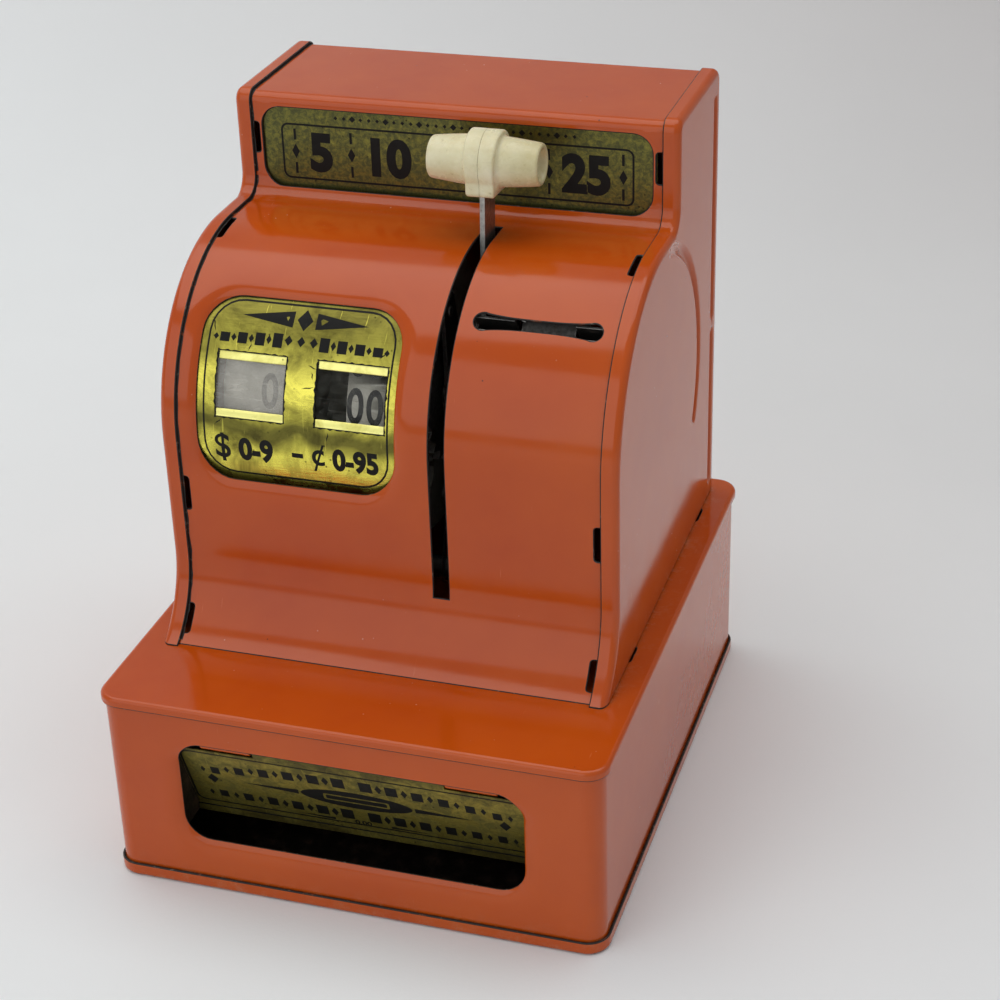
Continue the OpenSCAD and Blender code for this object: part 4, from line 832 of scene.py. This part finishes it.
def make_wrapper():
    path = Path(body_arcs(WRAP_OUT, DECK_Z + 0.05), None, (BODY_BACK - WRAP_OUT, BODY_TOP - 8))
    drum = path.parts[2][0]
    radius = DRUM_R - WRAP_OUT

    def on_drum(points, sizes):
        return wrapped(points, sizes["x"], drum + radius*math.radians(sizes["rise"]), radius)

    def at_height(z):
        return path.find(lambda y, pz: pz >= z, drum + radius*1.6, drum + radius*math.pi/2 + 36)

    def front(z):
        return path.find(lambda y, pz: pz >= z, 0, drum + radius*1.2)

    def ledge(y, more):
        return path.find(lambda py, z: py >= y, drum + radius, drum + radius*1.571 + more)

    def trimmed(low, high, rows, gap):
        return [low, *(s for s in rows if low + gap < s < high - gap), high]

    def counter(d):
        return on_drum(rounded(*COUNTER["box"], d, 2.2), COUNTER)

    def header(d):
        return [(x, at_height(HEADER["z"] + z)) for x, z in rounded(*HEADER["box"], d, 3)]

    def coin_slot(d):
        c = COIN_SLOT
        end = (c["length"] - c["end"])/2
        flare = 0.47*(c["end"] - c["gap"])
        side = [(end*k/12, c["gap"]/2 + d + flare*(abs(k)/12)**3) for k in range(-11, 12)]
        ball = [on_arc(end, 0, c["end"]/2 + d, a) for a in range(-96, 97, 12)]
        shape = ball + side[::-1] + [(-x, -y) for x, y in ball] + [(x, -y) for x, y in side]
        return on_drum(shape, c)

    def lever_slot(d):
        c = LEVER_SLOT
        low = path.find(lambda y, z: z >= c["low"], 0, drum) - d
        high = ledge(c["back"], 12) + d
        x, a = c["x"], c["w"]/2 + d
        ups = trimmed(low, high, path.rows(3, 4), 0.4)
        return [*((x + a, s) for s in ups), (x, high), *((x - a, s) for s in ups[::-1]), (x, low)]

    def slot_box(x, low, high):
        loop = rounded(2.1 - 2*RIM, high - low - 2*RIM, 0.3, 2*RIM, 2.5, 3)
        return [[(x + px, (low + high)/2 + py) for px, py in loop]]

    def height(x, s):
        c = COUNTER
        turn = (s - drum)/radius - math.radians(c["rise"])
        if abs(turn) > 1.2:
            return 0
        return drawn(to_rounded(x - c["x"], radius*math.sin(turn), *c["box"]), c["band"], c["draw"])

    across = spread(RIM - WRAP_HALF, WRAP_HALF - RIM, 4)
    edges = [[box_loop(across, trimmed(RIM, path.length - RIM, path.rows(3, 5), 0.3))],
             [counter(d) for d in drawn_steps(COUNTER["band"])],
             [header(RIM + d) for d in (0, 0.8)],
             [coin_slot(RIM + d) for d in (0, 0.5, 1.2)],
             [lever_slot(RIM + d) for d in (0, 0.9)]]
    # Slots for the side panels' tabs, from the foot up to the header
    slots = [[front(DECK_Z + z) for z in (1.9, 7)], [front(DECK_Z + z) for z in (29.7, 37.8)],
             [ledge(y, 8) for y in (-3.3, 5.3)], [at_height(HEADER["z"] + z) for z in (-1.8, 5.3)]]
    edges += [slot_box(side*TAB_X, *slot) for side in (-1, 1) for slot in slots]
    wrapper = Surface()
    wrapper.patch(edges, path.place, height, path.rows(3, 5), spread(-51, 51, 4))
    # A dark strip in the step beside the left flange: painted shadow of the gap under the flange's edge, with
    # old dirty build-up
    dirt_and_shade = Surface()
    step = FLANGE_W - BODY_HALF
    rows = []
    for s in path.rows(3, 4)[1:-1]:
        wide = 0.32 + 0.1*math.sin(0.9*s) + 0.06*math.sin(2.3*s + 1)
        rows.append(dirt_and_shade.row([(path.place(x, s, 0.05), (0, *path.at(s)[2:]))
                              for x in (step - 0.3, step + wide)]))
    dirt_and_shade.loft(rows)
    piece("seam_shadow_strip", dirt_and_shade.solid(0.06, 2), CUT_EDGE, "housing")
    enamelled("wrapper_sheet", wrapper, "front_wrapper")


GROOVE = dict(w=4, depth=1.3, r=DRUM_R - 2, low=-26, high=78, rear=BODY_BACK - 4.8)
REAR_GROOVES = ((DECK_Z + 5.5, AXIS_Z - 3), (AXIS_Z + 3, BODY_TOP - 7.5))


def in_groove(y, z):
    """Depth of a side panel's stamped grooves at a place. The round one runs out towards its upper end."""
    g = GROOVE
    r = math.hypot(y - AXIS_Y, z - AXIS_Z)
    a = math.degrees(math.atan2(z - AXIS_Z, y - AXIS_Y))
    over = max(a - g["high"], g["low"] - a, 0)
    near = math.hypot(r - g["r"], math.radians(over)*g["r"])
    depth = g["depth"]*min(1, max(0.15, (g["high"] + 4 - a)/26))
    for low, high in REAR_GROOVES:
        other = math.hypot(y - g["rear"], max(low - z, z - high, 0))
        if other < near:
            near, depth = other, g["depth"]
    share = max(0, 1 - near/(g["w"]/2))
    return -depth*(1 - (1 - share)**2.4)*min(1, share*1.6)


def groove_lines():
    """Lines of points that follow the grooves, so that their walls are crisp."""
    g = GROOVE
    half = g["w"]/2
    lines = []
    for off in (k*half/4 for k in range(-4, 5)):
        r = g["r"] + off
        lines += [on_arc(AXIS_Y, AXIS_Z, r, a) for a in spread(g["low"] - 3, g["high"] + 3, 2)]
        for low, high in REAR_GROOVES:
            lines += [(g["rear"] + off, z) for z in spread(low - half + 0.3, high + half - 0.3, 1.4)]
    return lines


def body_row(t, low, x, normal_x):
    """Points of the side outline t inside the body's face, at a place across it, with their normals."""
    path = Path(body_arcs(t, low), None, (BODY_BACK - t, low))
    found = []
    for start, size, kind, data in path.parts:
        if kind == "line":
            count = 14 if size > 40 else 5
        else:
            count = max(4, round(abs(data[4] - data[3])/3))
        found += [start + size*k/count for k in range(count)]
    found.append(path.length)
    flat = math.sqrt(1 - normal_x**2)
    return [((x, y, z), (normal_x, ny*flat, nz*flat)) for y, z, ny, nz in map(path.at, found)]


def make_side_panels():
    corner, low = 1.7, DECK_Z + RIM + 0.05
    for side, name in ((-1, "left"), (1, "right")):
        panel = Surface()
        outline = [(p[1], p[2]) for p, _ in body_row(corner, low, 0, 0)]
        bottom = [(y, low) for y in spread(outline[-1][0], outline[0][0], 4)[1:-1]]
        border = panel.patch([[outline + bottom]], lambda y, z, h: (side*(BODY_HALF + h), y, z), in_groove,
                             spread(50, 156, 4), spread(-52, 60, 4), 0.25, groove_lines())
        rows = [border[:len(outline)]]
        for a in range(15, 91, 15):
            x = side*(BODY_HALF - corner*(1 - cos(a)))
            rows.append(panel.row(body_row(corner*(1 - sin(a)), low, x, side*cos(a))))
        for x in (BODY_HALF - 2.4, BODY_HALF - FLANGE_W + RIM):
            rows.append(panel.row(body_row(0, low, side*x, 0)))
        panel.loft(rows)
        enamelled(f"side_sheet_{name}", panel, f"{name}_side_panel")


def make_back():
    back = Surface()
    y = BODY_BACK - 1.4
    half, low, high = WRAP_HALF - RIM, DECK_Z + RIM + 0.05, BODY_TOP - TOP_R - RIM
    loop = box_loop(spread(-half, half, 6), spread(low, high, 6))
    back.patch([[loop]], lambda x, z, h: (x, y + h, z), None, spread(low, high, 6), spread(-48, 48, 6))
    enamelled("back_sheet", back, "back_panel")


# Plates, films and print

def make_header_plate():
    plate = Surface()
    y = HEADER_Y + 1.4
    loop = [(x, HEADER["z"] + z) for x, z in rounded(*HEADER["box"], 1 - BRASS/2, 3)]

    def place(x, z, h):
        return x, y - h - 0.1*math.sin(0.09*x)*math.sin(0.21*z), z

    plate.patch([[loop]], place, None, spread(136, 154, 1.5), spread(-45, 45, 2))
    piece("header_brass", plate.solid(BRASS), HEADER_BRASS, "housing", ["header_plate"])
    return place


def make_counter_plate():
    c = COUNTER
    outer = DRUM_R - WRAP_OUT - c["draw"] - 0.1
    off = outer*math.radians(NUMBER_RISE - c["rise"])

    def belly(x, s):
        """The plate bulges a little and is dented round its number windows."""
        dents = 0.05*math.sin(1.9*x + 0.7*s)*math.sin(1.3*s - 0.5*x)
        bulge = 0.05*math.sin(0.31*x + 0.4)*math.sin(0.37*s)
        near = min(max(abs(x - mid) - NUMBER_W/2, abs(s - off) - NUMBER_H/2) for mid in (CENTS_X, DOLLARS_X))
        edge = min(c["box"][0]/2 - abs(x - c["x"]), c["box"][1]/2 - abs(s))
        return (dents*min(1, max(0, 1 - near/2.5)) + bulge)*min(1, max(0, edge/3)) - 0.06

    flat = drum_place(outer, c["rise"])

    def place(x, s, h):
        return flat(x, s, h + belly(x, s))

    edges = [[wrapped(rounded(*c["box"], 1.4 - BRASS/2, 2), c["x"], 0, outer)]]
    for mid in (CENTS_X, DOLLARS_X):
        edges.append([wrapped(rounded(NUMBER_W, NUMBER_H, 0.6, d, 2, 3), mid, off, outer)
                      for d in (BRASS/2, 0.7, 1.3)])
    plate = Surface()
    plate.patch(edges, place, None, spread(-23, 23, 1.2), spread(-45, 3, 1.2), 0.5)
    piece("counter_brass", plate.solid(BRASS), COUNTER_BRASS, "housing", ["counter_plate"])
    # Lips folded in at the top and bottom of each number window, which hold its film
    lips = Surface()
    outline = ((0.05, -0.12, 70), (0, -0.2, 35), (0.35, -0.24, 6), (1, -0.27, 3), (1.6, -0.31, 10),
               (1.8, -0.38, 55))
    for mid, way in NUMBER_EDGES:
        rows = []
        for inward, h, tilt in outline:
            s = off + way*(NUMBER_H/2 - inward)
            pairs = []
            for x in spread(mid - NUMBER_W/2 + 0.2, mid + NUMBER_W/2 - 0.2, 1.3):
                here = Vector(flat(x, s, h))
                up = (Vector(flat(x, s, h + 1)) - here).normalized()
                along = (Vector(flat(x, s - way, h)) - here).normalized()
                pairs.append((here, up*cos(tilt) + along*sin(tilt)))
            rows.append(lips.row(pairs))
        lips.loft(rows)
    piece("counter_lips", lips.solid(0.12, 2), LIP_BRASS, "housing", ())
    return outer, place


def make_films(outer):
    place = drum_place(outer - BRASS - 0.1, NUMBER_RISE)
    for name, mid, material in (("dollars", DOLLARS_X, CLOUDY_FILM), ("cents", CENTS_X, CLEAR_FILM)):
        film = Surface()
        loop = [(mid + x, y) for x, y in rounded(NUMBER_W, NUMBER_H, 0.5, 0.7, 2, 3)]
        film.patch([[loop]], place, lambda x, s: 0.1*math.sin(x*0.5 + 1)*math.sin(s*0.4) - 0.1,
                   spread(-8, 8, 1.5), spread(mid - 8, mid + 8, 2))
        piece(f"{name}_film", film.solid(0.25, 2), material, "housing", [f"{name}_window"])


def glyph_loops(text, height, wide, weight):
    """Outlines of a short text in the built-in face, centred, as closed loops."""
    curve = bpy.data.curves.new("glyphs", "FONT")
    curve.body = text
    curve.offset = weight
    curve.resolution_u = 5
    curve.fill_mode = "FRONT"
    obj = bpy.data.objects.new("glyphs", curve)
    mesh = obj.to_mesh()
    corners = [tuple(v.co[:2]) for v in mesh.vertices]
    first = {}
    merged = [first.setdefault((round(x, 5), round(y, 5)), i) for i, (x, y) in enumerate(corners)]
    sides = {}
    for face in mesh.polygons:
        ids = [merged[i] for i in face.vertices]
        sides.update(dict.fromkeys(zip(ids, ids[1:] + ids[:1])))
    obj.to_mesh_clear()
    bpy.data.objects.remove(obj)
    bpy.data.curves.remove(curve)
    onward = {}
    for a, b in sides:
        if (b, a) not in sides and a != b:
            onward.setdefault(a, []).append(b)
    loops = []
    while onward:
        start = here = min(onward)
        loop = []
        while here in onward and (here != start or not loop):
            loop.append(corners[here])
            after = onward[here].pop()
            if not onward[here]:
                del onward[here]
            here = after
        loops.append(loop)
    xs = [p[0] for loop in loops for p in loop]
    ys = [p[1] for loop in loops for p in loop]
    scale = height/(max(ys) - min(ys))
    cx, cy = (max(xs) + min(xs))/2, (max(ys) + min(ys))/2
    return [[((x - cx)*scale*wide, (y - cy)*scale) for x, y in loop] for loop in loops if len(loop) > 2]


class Print:
    """Flat shapes printed on a surface."""

    def __init__(self, place, thick=0.05):
        self.place = place
        self.thick = thick
        self.surface = Surface()

    def shape(self, loops, x=0, y=0):
        """Prints what an odd number of the loops goes round."""
        loops = [dense([(x + px, y + py) for px, py in loop], 1.5) for loop in loops]
        out, tris, _ = fill(loops, loops)
        base = len(self.surface.points)
        for u, v in out:
            here = Vector(self.place(u, v, 0.03))
            up = Vector(self.place(u, v, 0.13)) - here
            self.surface.add(here, up.normalized())
        self.surface.faces += [[base + i for i in t] for t in tris]

    def text(self, text, height, x, y, wide, weight):
        self.shape(glyph_loops(text, height, wide, weight), x, y)

    def frame(self, w, h, r, line, x, y):
        self.shape([rounded(w, h, r, 0, 1.5, 6), rounded(w, h, r, -line, 1.5, 6)], x, y)

    def diamond(self, w, h, x, y):
        self.shape([[(w/2, 0), (0, h/2), (-w/2, 0), (0, -h/2)]], x, y)

    def bar(self, w, h, x, y):
        self.shape([[(-w/2, -h/2), (w/2, -h/2), (w/2, h/2), (-w/2, h/2)]], x, y)

    def taper(self, w, h, x, y, way):
        """A rule that tapers to a point."""
        self.shape([[(0, -way*h/2), (way*w, 0), (0, way*h/2)]], x, y)

    def finish(self, name, body, material=INK):
        piece(name, self.surface.solid(self.thick, 2), material, body, ())


def print_header(place):
    """Coin values in a ruled frame, with a row of small lozenges over it."""
    z = HEADER["z"] - 1.2
    ink = Print(place)
    ink.frame(83, 13.2, 1.8, 0.42, 0, z)
    for text, x in (("5", -32), ("10", -15), ("25", 30.5)):
        ink.text(text, 9.4, x, z, 0.95, 0.05)
    for x in (-38.2, -24.6, 22, 39):
        ink.diamond(1.8, 3.4, x, z)
        ink.bar(0.55, 2.6, x, z + 4)
        ink.bar(0.55, 2.6, x, z - 4)
    for k in range(-14, 15):
        size = 1.5 if k % 4 == 0 else 0.9
        ink.diamond(size, size, 2*k, HEADER["z"] + 7.3)
    ink.finish("header_print", "housing")


def print_counter(outer, place):
    """Ornament over the number windows, and the sign and span of each wheel under them."""
    c = COUNTER
    ink = Print(lambda x, s, h: place(x, outer*math.asin(max(min(s/outer, 0.99), -0.99)), h))
    x, (w, h, r) = c["x"], c["box"]
    ink.frame(w - 2.6, h - 2.6, r - 1.2, 0.38, x, 0)
    high, low, foot = 16, 11.3, -13.4
    ink.diamond(3.6, 4.4, x, high)
    for way in (-1, 1):
        ink.taper(12, 3.4, x + way*2.6, high, way)
        ink.diamond(1.8, 2.2, x + way*2.9, low + 0.2)
        for k in range(4):
            ink.bar(2.2, 3 - 0.35*k, x + way*(5.4 + 4.1*k), low - 0.1*k)
            ink.diamond(1.2, 2 - 0.2*k, x + way*(7.45 + 4.1*k), low - 0.1*k)
    ink.diamond(1.8, 2.2, x, low + 0.2)
    ink.text("$", 6.6, DOLLARS_X - 6.6, foot, 0.95, 0.012)
    ink.text("0-9", 5.4, DOLLARS_X + 1.2, foot, 0.9, 0.045)
    ink.text("¢", 6.2, CENTS_X - 7.3, foot, 1, 0.012)
    ink.text("0-95", 5.2, CENTS_X + 1.2, foot, 0.9, 0.045)
    ink.bar(2.6, 1, x + 0.4, foot)
    # Ragged dark line where the brass was cut and cracked round each number window
    middle = outer*sin(NUMBER_RISE - c["rise"])
    w, h = NUMBER_W/2, NUMBER_H/2
    us, vs = spread(-w - 0.25, w + 0.25, 0.8), spread(-h, h, 0.8)
    for mid, way in NUMBER_EDGES:
        far = [(u, way*(h + 0.16 + 0.13*math.sin(5.1*u + mid) + 0.1*math.sin(12.7*u))) for u in us[::-1]]
        ink.shape([[(u, way*(h - 0.1)) for u in us] + far], mid, middle)
        far = [(way*(w + 0.2 + 0.14*math.sin(4.3*v + mid) + 0.1*math.sin(9.1*v)), v) for v in vs[::-1]]
        ink.shape([[(way*(w - 0.05), v) for v in vs] + far], mid, middle)
    cracks = ((2.8, 1.1, 1.5, 12), (3.6, 3.8, 0.8, 100), (3.4, 5.6, 1.1, -20), (-11.5, 8.6, 0.9, 75),
              (7.6, -9.2, 1, 80), (-17.9, -8.4, 1, 40), (-20.6, 12.6, 1.6, 110), (19, 9.6, 0.9, 50))
    for u, v, long, turn in cracks:
        along, up = cos(turn), sin(turn)
        bent = [(-1, 0), (-0.3, 0.16), (0.3, 0.02), (1, 0.1), (0.3, -0.18), (-0.2, -0.06)]
        bent = [(a*long, b) for a, b in bent]
        ink.shape([[(x + u + a*along - b*up, middle + v + a*up + b*along) for a, b in bent]])
    ink.finish("counter_print", "housing")


def print_door(place, bend_z, top):
    """Bold ornament round a dark plaque, the reading at which the flap opens, and a pointer to it."""
    low = bend_z - place(0, 0, 0)[2] + 0.4
    ink = Print(place)
    middle = (low + top)/2
    ink.frame(80, top - low - 1.6, 2.2, 0.42, 0, middle)
    oval = [(13*cos(a), 3.1*sin(a)) for a in range(0, 360, 8)]
    ink.shape([oval, rounded(15.4, 2.4, 0.5), rounded(14.2, 1.4, 0.4)], 0, middle)
    for way in (-1, 1):
        ink.taper(13, 1.6, way*13.6, middle, way)
        for k in range(6):
            x, size = way*(3.2 + 5.9*k), 1 - 0.06*k
            for y in (middle + 6.2 - 0.12*k*k, middle - 6):
                ink.bar(2.9*size, 3.6*size, x, y)
                ink.diamond(1.6*size, 3.2*size, x + way*2.95, y)
        ink.diamond(2.6, 3.6, way*34, middle - 0.2)
        ink.taper(9, 0.8, way*6.6, low + 1.9, way)
    ink.text("0.00", 1.7, 0, low + 1.9, 1, 0.02)
    ink.bar(83.2, 0.3, 0, low - 1)
    ink.finish("door_print", "door")


def make_numbers():
    """Printed digits round both wheels, upright as they pass their windows."""
    for name, x, drop, texts in (("cents", -6, -2, [f"{5*k:02d}" for k in range(20)]),
                                 ("dollars", -28.1, -0.8, [f"{k}" for k in range(10)])):
        ink = Print(None, 0.04)
        for k, text in enumerate(texts):
            ink.place = drum_place(WHEEL_R, NUMBER_RISE + 360*k/len(texts))
            for i, digit in enumerate(text):
                ink.text(digit, 8, x + (i - (len(text) - 1)/2)*4.5, drop, 0.74, 0.02)
        ink.finish(f"{name}_digits", name, DIGIT)


# Handle and lever

HANDLE = dict(up=54.8, lean=-4, half=12.6, collar_r=6.9, collar_half=3.7, block_half=5.8, foot_half=3.15)


def handle_outline():
    """From the seam to the middle of the dished end: place along the handle, radius, and whether the collar's
    shape holds there."""
    r, x = HANDLE["collar_r"], HANDLE["collar_half"]
    collar = [(0.02, r - 0.07), (0.07, r - 0.02), (0.16, r), (1.5, r), (x - 0.62, r), (x - 0.4, r - 0.03),
              (x - 0.2, r - 0.13), (x - 0.06, r - 0.32), (x, r - 0.6), (x + 0.02, 6.02)]
    root, tip, last = 5.44, 4.72, HANDLE["half"] - 0.75
    grip = [(x + 0.1, 5.72), (x + 0.3, 5.55), (x + 0.7, 5.47)]
    grip += [(x + 1 + (last - x - 1)*k/10, root + (tip - root)*k/10 + 0.05*math.sin(math.pi*k/10))
             for k in range(11)]
    grip += [(last + 0.75*sin(a), tip - 0.62*(1 - cos(a))) for a in (18, 36, 54, 72, 90)]
    dish = ((0.72, 3.86), (0.6, 3.6), (0.2, 3.42), (-0.5, 3.3), (-0.95, 3.1), (-1.12, 2.6), (-1.15, 1.2))
    grip += [(last + more, r) for more, r in dish]
    return [(*p, True) for p in collar] + [(*p, False) for p in grip]


def collar_radius(a, r):
    """The collar's radius at an angle: round above, and below it runs into a block with a flat bottom."""
    h = HANDLE
    if math.sin(a) > 0:
        return r
    corner = math.hypot(h["block_half"], h["collar_r"]) - 0.45
    to_side = h["block_half"]/max(abs(math.cos(a)), 1e-6)
    to_foot = h["collar_r"]/max(abs(math.sin(a)), 1e-6)
    return max(r, min(to_side, to_foot, corner) - (h["collar_r"] - r))


def make_handle():
    """Two moulded halves: tapered grips, a collar with a flat-bottomed block, and dished ends."""
    h = HANDLE
    up = Vector((0, -sin(h["lean"]), cos(h["lean"])))
    centre = Vector((LEVER_SLOT["x"], AXIS_Y, AXIS_Z)) + up*h["up"]
    across = Vector((1, 0, 0))
    back = up.cross(across)
    count = 112
    for side, name in ((-1, "left"), (1, "right")):
        half = Surface()
        rows = []
        for x, r, collared in handle_outline():
            pairs = []
            for a in (2*math.pi*k/count for k in range(count)):
                radius, narrow = r, 1
                if collared:
                    radius = collar_radius(a, r)
                if collared and x > 1:
                    # The collar narrows from its round top to the foot of its block
                    narrow -= (1 - h["foot_half"]/h["collar_half"])*(1 - math.sin(a))/2
                way = back*math.cos(a) + up*math.sin(a)
                pairs.append((centre + across*(side*x*narrow) + way*radius, up))
            rows.append(half.row(pairs))
        half.loft(rows, True)
        tip = half.add(centre + across*(side*(h["half"] - 1.9)), up)
        seam = half.add(centre + across*(side*0.02), up)
        half.faces += [[rows[-1][k], rows[-1][(k + 1) % count], tip] for k in range(count)]
        half.faces += [[rows[0][k], seam, rows[0][(k + 1) % count]] for k in range(count)]
        faces = [f if side > 0 else [f[0], *f[:0:-1]] for f in half.faces]
        made = piece(f"handle_{name}", (half.points, None, faces, 0), IVORY, "lever", [f"handle_{name}_half"])
        made.data.shade_smooth()
        modify(made, "EDGE_SPLIT", split_angle=math.radians(52))


# Carried-over nodes: finish and softened edges

FINISH = [
    (STEEL, "door_hinge_pin main_shaft transfer_pin latch_pin lever_hub drive_pawl_pin detent_pin hammer_pin "
            "gauge_pin frame_screws chute_rivets handle_rivet gong_post gong_screw latch_disc ratchet_wheel "
            "hammer_head lever_arm"),
    (DARK_STEEL, "left_frame center_frame frame_spacers transfer_bracket latch_arm pawl_carrier drive_pawl "
                 "detent_pawl bell_hammer chute_floor chute_cover coin_gauge"),
    (SPRING_STEEL, "drive_pawl_spring lever_spring detent_spring hammer_spring gauge_spring"),
    (BELL_STEEL, "bell_gong"),
    (PLAIN_BRASS, "transfer_pinion"),
    (WHEEL, "dollars_wheel cents_wheel"),
]


def finish_nodes():
    for material, names in FINISH:
        for name in names.split():
            obj = nodes[name]
            obj.data.materials.clear()
            obj.data.materials.append(material)
            if material is not SPRING_STEEL:
                modify(obj, "WELD", merge_threshold=0.00002)
                modify(obj, "BEVEL", width=0.00012, segments=2, limit_method="ANGLE",
                       angle_limit=math.radians(40))


# Studio

def paper_material():
    """Pale paper, with painted shade: greyer far back on the right."""
    m = Shader("paper", Roughness=0.75)
    cloud = m.ramp(m.noise(6), 0.3, 0.7)
    tint = m.mix(cloud, rgb(238, 241, 241), rgb(234, 237, 237))
    # Painted shade: the paper turns greyer towards the back right
    across = m.dot(m.place, (0.8, 0.5, 0.3))
    tint = m.mix(m.ramp(across, 0.05, 0.75), tint, rgb(176, 169, 167))
    return m.set(Base_Color=tint, Normal=m.bump(m.noise(900), 0.0001, 0.3))


def make_studio():
    """A pale sweep that runs from the floor up behind the object."""
    front, back, wide, high, bend = -1.3, 0.75, 1.9, 1.6, 0.45
    profile = [(front, 0), (back - bend, 0)]
    profile += [(back - bend + bend*sin(a), bend - bend*cos(a)) for a in range(6, 91, 6)]
    profile.append((back, high))
    mesh = bpy.data.meshes.new("sweep")
    points = [(x, y, z) for y, z in profile for x in (-wide, wide)]
    faces = [(2*i, 2*i + 1, 2*i + 3, 2*i + 2) for i in range(len(profile) - 1)]
    mesh.from_pydata(points, [], faces)
    mesh.polygons.foreach_set("use_smooth", [True]*len(faces))
    sweep = put("sweep", mesh)
    sweep.rotation_euler = (0, 0, math.radians(18))
    mesh.materials.append(paper_material())


def area_lamp(name, place, size, power, colour):
    data = bpy.data.lights.new(name, "AREA")
    data.shape = "RECTANGLE"
    data.size, data.size_y = size
    data.energy = power
    data.color = colour
    lamp = put(name, data)
    lamp.location = place
    lamp.rotation_euler = (Vector((0, 0, 0.1)) - Vector(place)).to_track_quat("-Z", "Y").to_euler()


def make_light():
    world = bpy.data.worlds.new("room")
    world.use_nodes = True
    sky = world.node_tree.nodes["Background"]
    sky.inputs["Color"].default_value = (0.93, 0.95, 1, 1)
    sky.inputs["Strength"].default_value = 0.4
    bpy.context.scene.world = world
    area_lamp("ceiling", (-0.25, 0.42, 1.45), (2.4, 2), 23.2, (1, 0.98, 0.95))
    area_lamp("window", (-0.36, -1, 0.56), (1.2, 0.95), 3, (0.97, 0.98, 1))


def make_camera():
    """The photograph's viewpoint, fitted from the object's own edges."""
    azimuth, elevation, roll = 18.1156, 28.5606, -1.7910
    away = Vector((sin(azimuth)*cos(elevation), -cos(azimuth)*cos(elevation), sin(elevation)))
    right = Vector((cos(azimuth), sin(azimuth), 0))
    up = away.cross(right)
    side = right*cos(roll) + up*sin(roll)
    top = up*cos(roll) - right*sin(roll)
    data = bpy.data.cameras.new("camera")
    data.sensor_width = 36
    data.lens = 80.55
    data.clip_start = 0.05
    camera = put("camera", data)
    turn = Matrix((side, top, away)).transposed().to_4x4()
    camera.matrix_world = Matrix.Translation(Vector((0.155511, -0.427796, 0.316602))) @ turn
    bpy.context.scene.camera = camera


make_camera()
make_wall()
make_cheeks()
make_deck_and_pan()
door = make_door()
make_wrapper()
make_side_panels()
make_back()
header = make_header_plate()
counter = make_counter_plate()
make_films(counter[0])
print_header(header)
print_counter(*counter)
print_door(*door)
make_numbers()
make_handle()
finish_nodes()
make_studio()
make_light()
bpy.context.scene.view_settings.view_transform = "Standard"
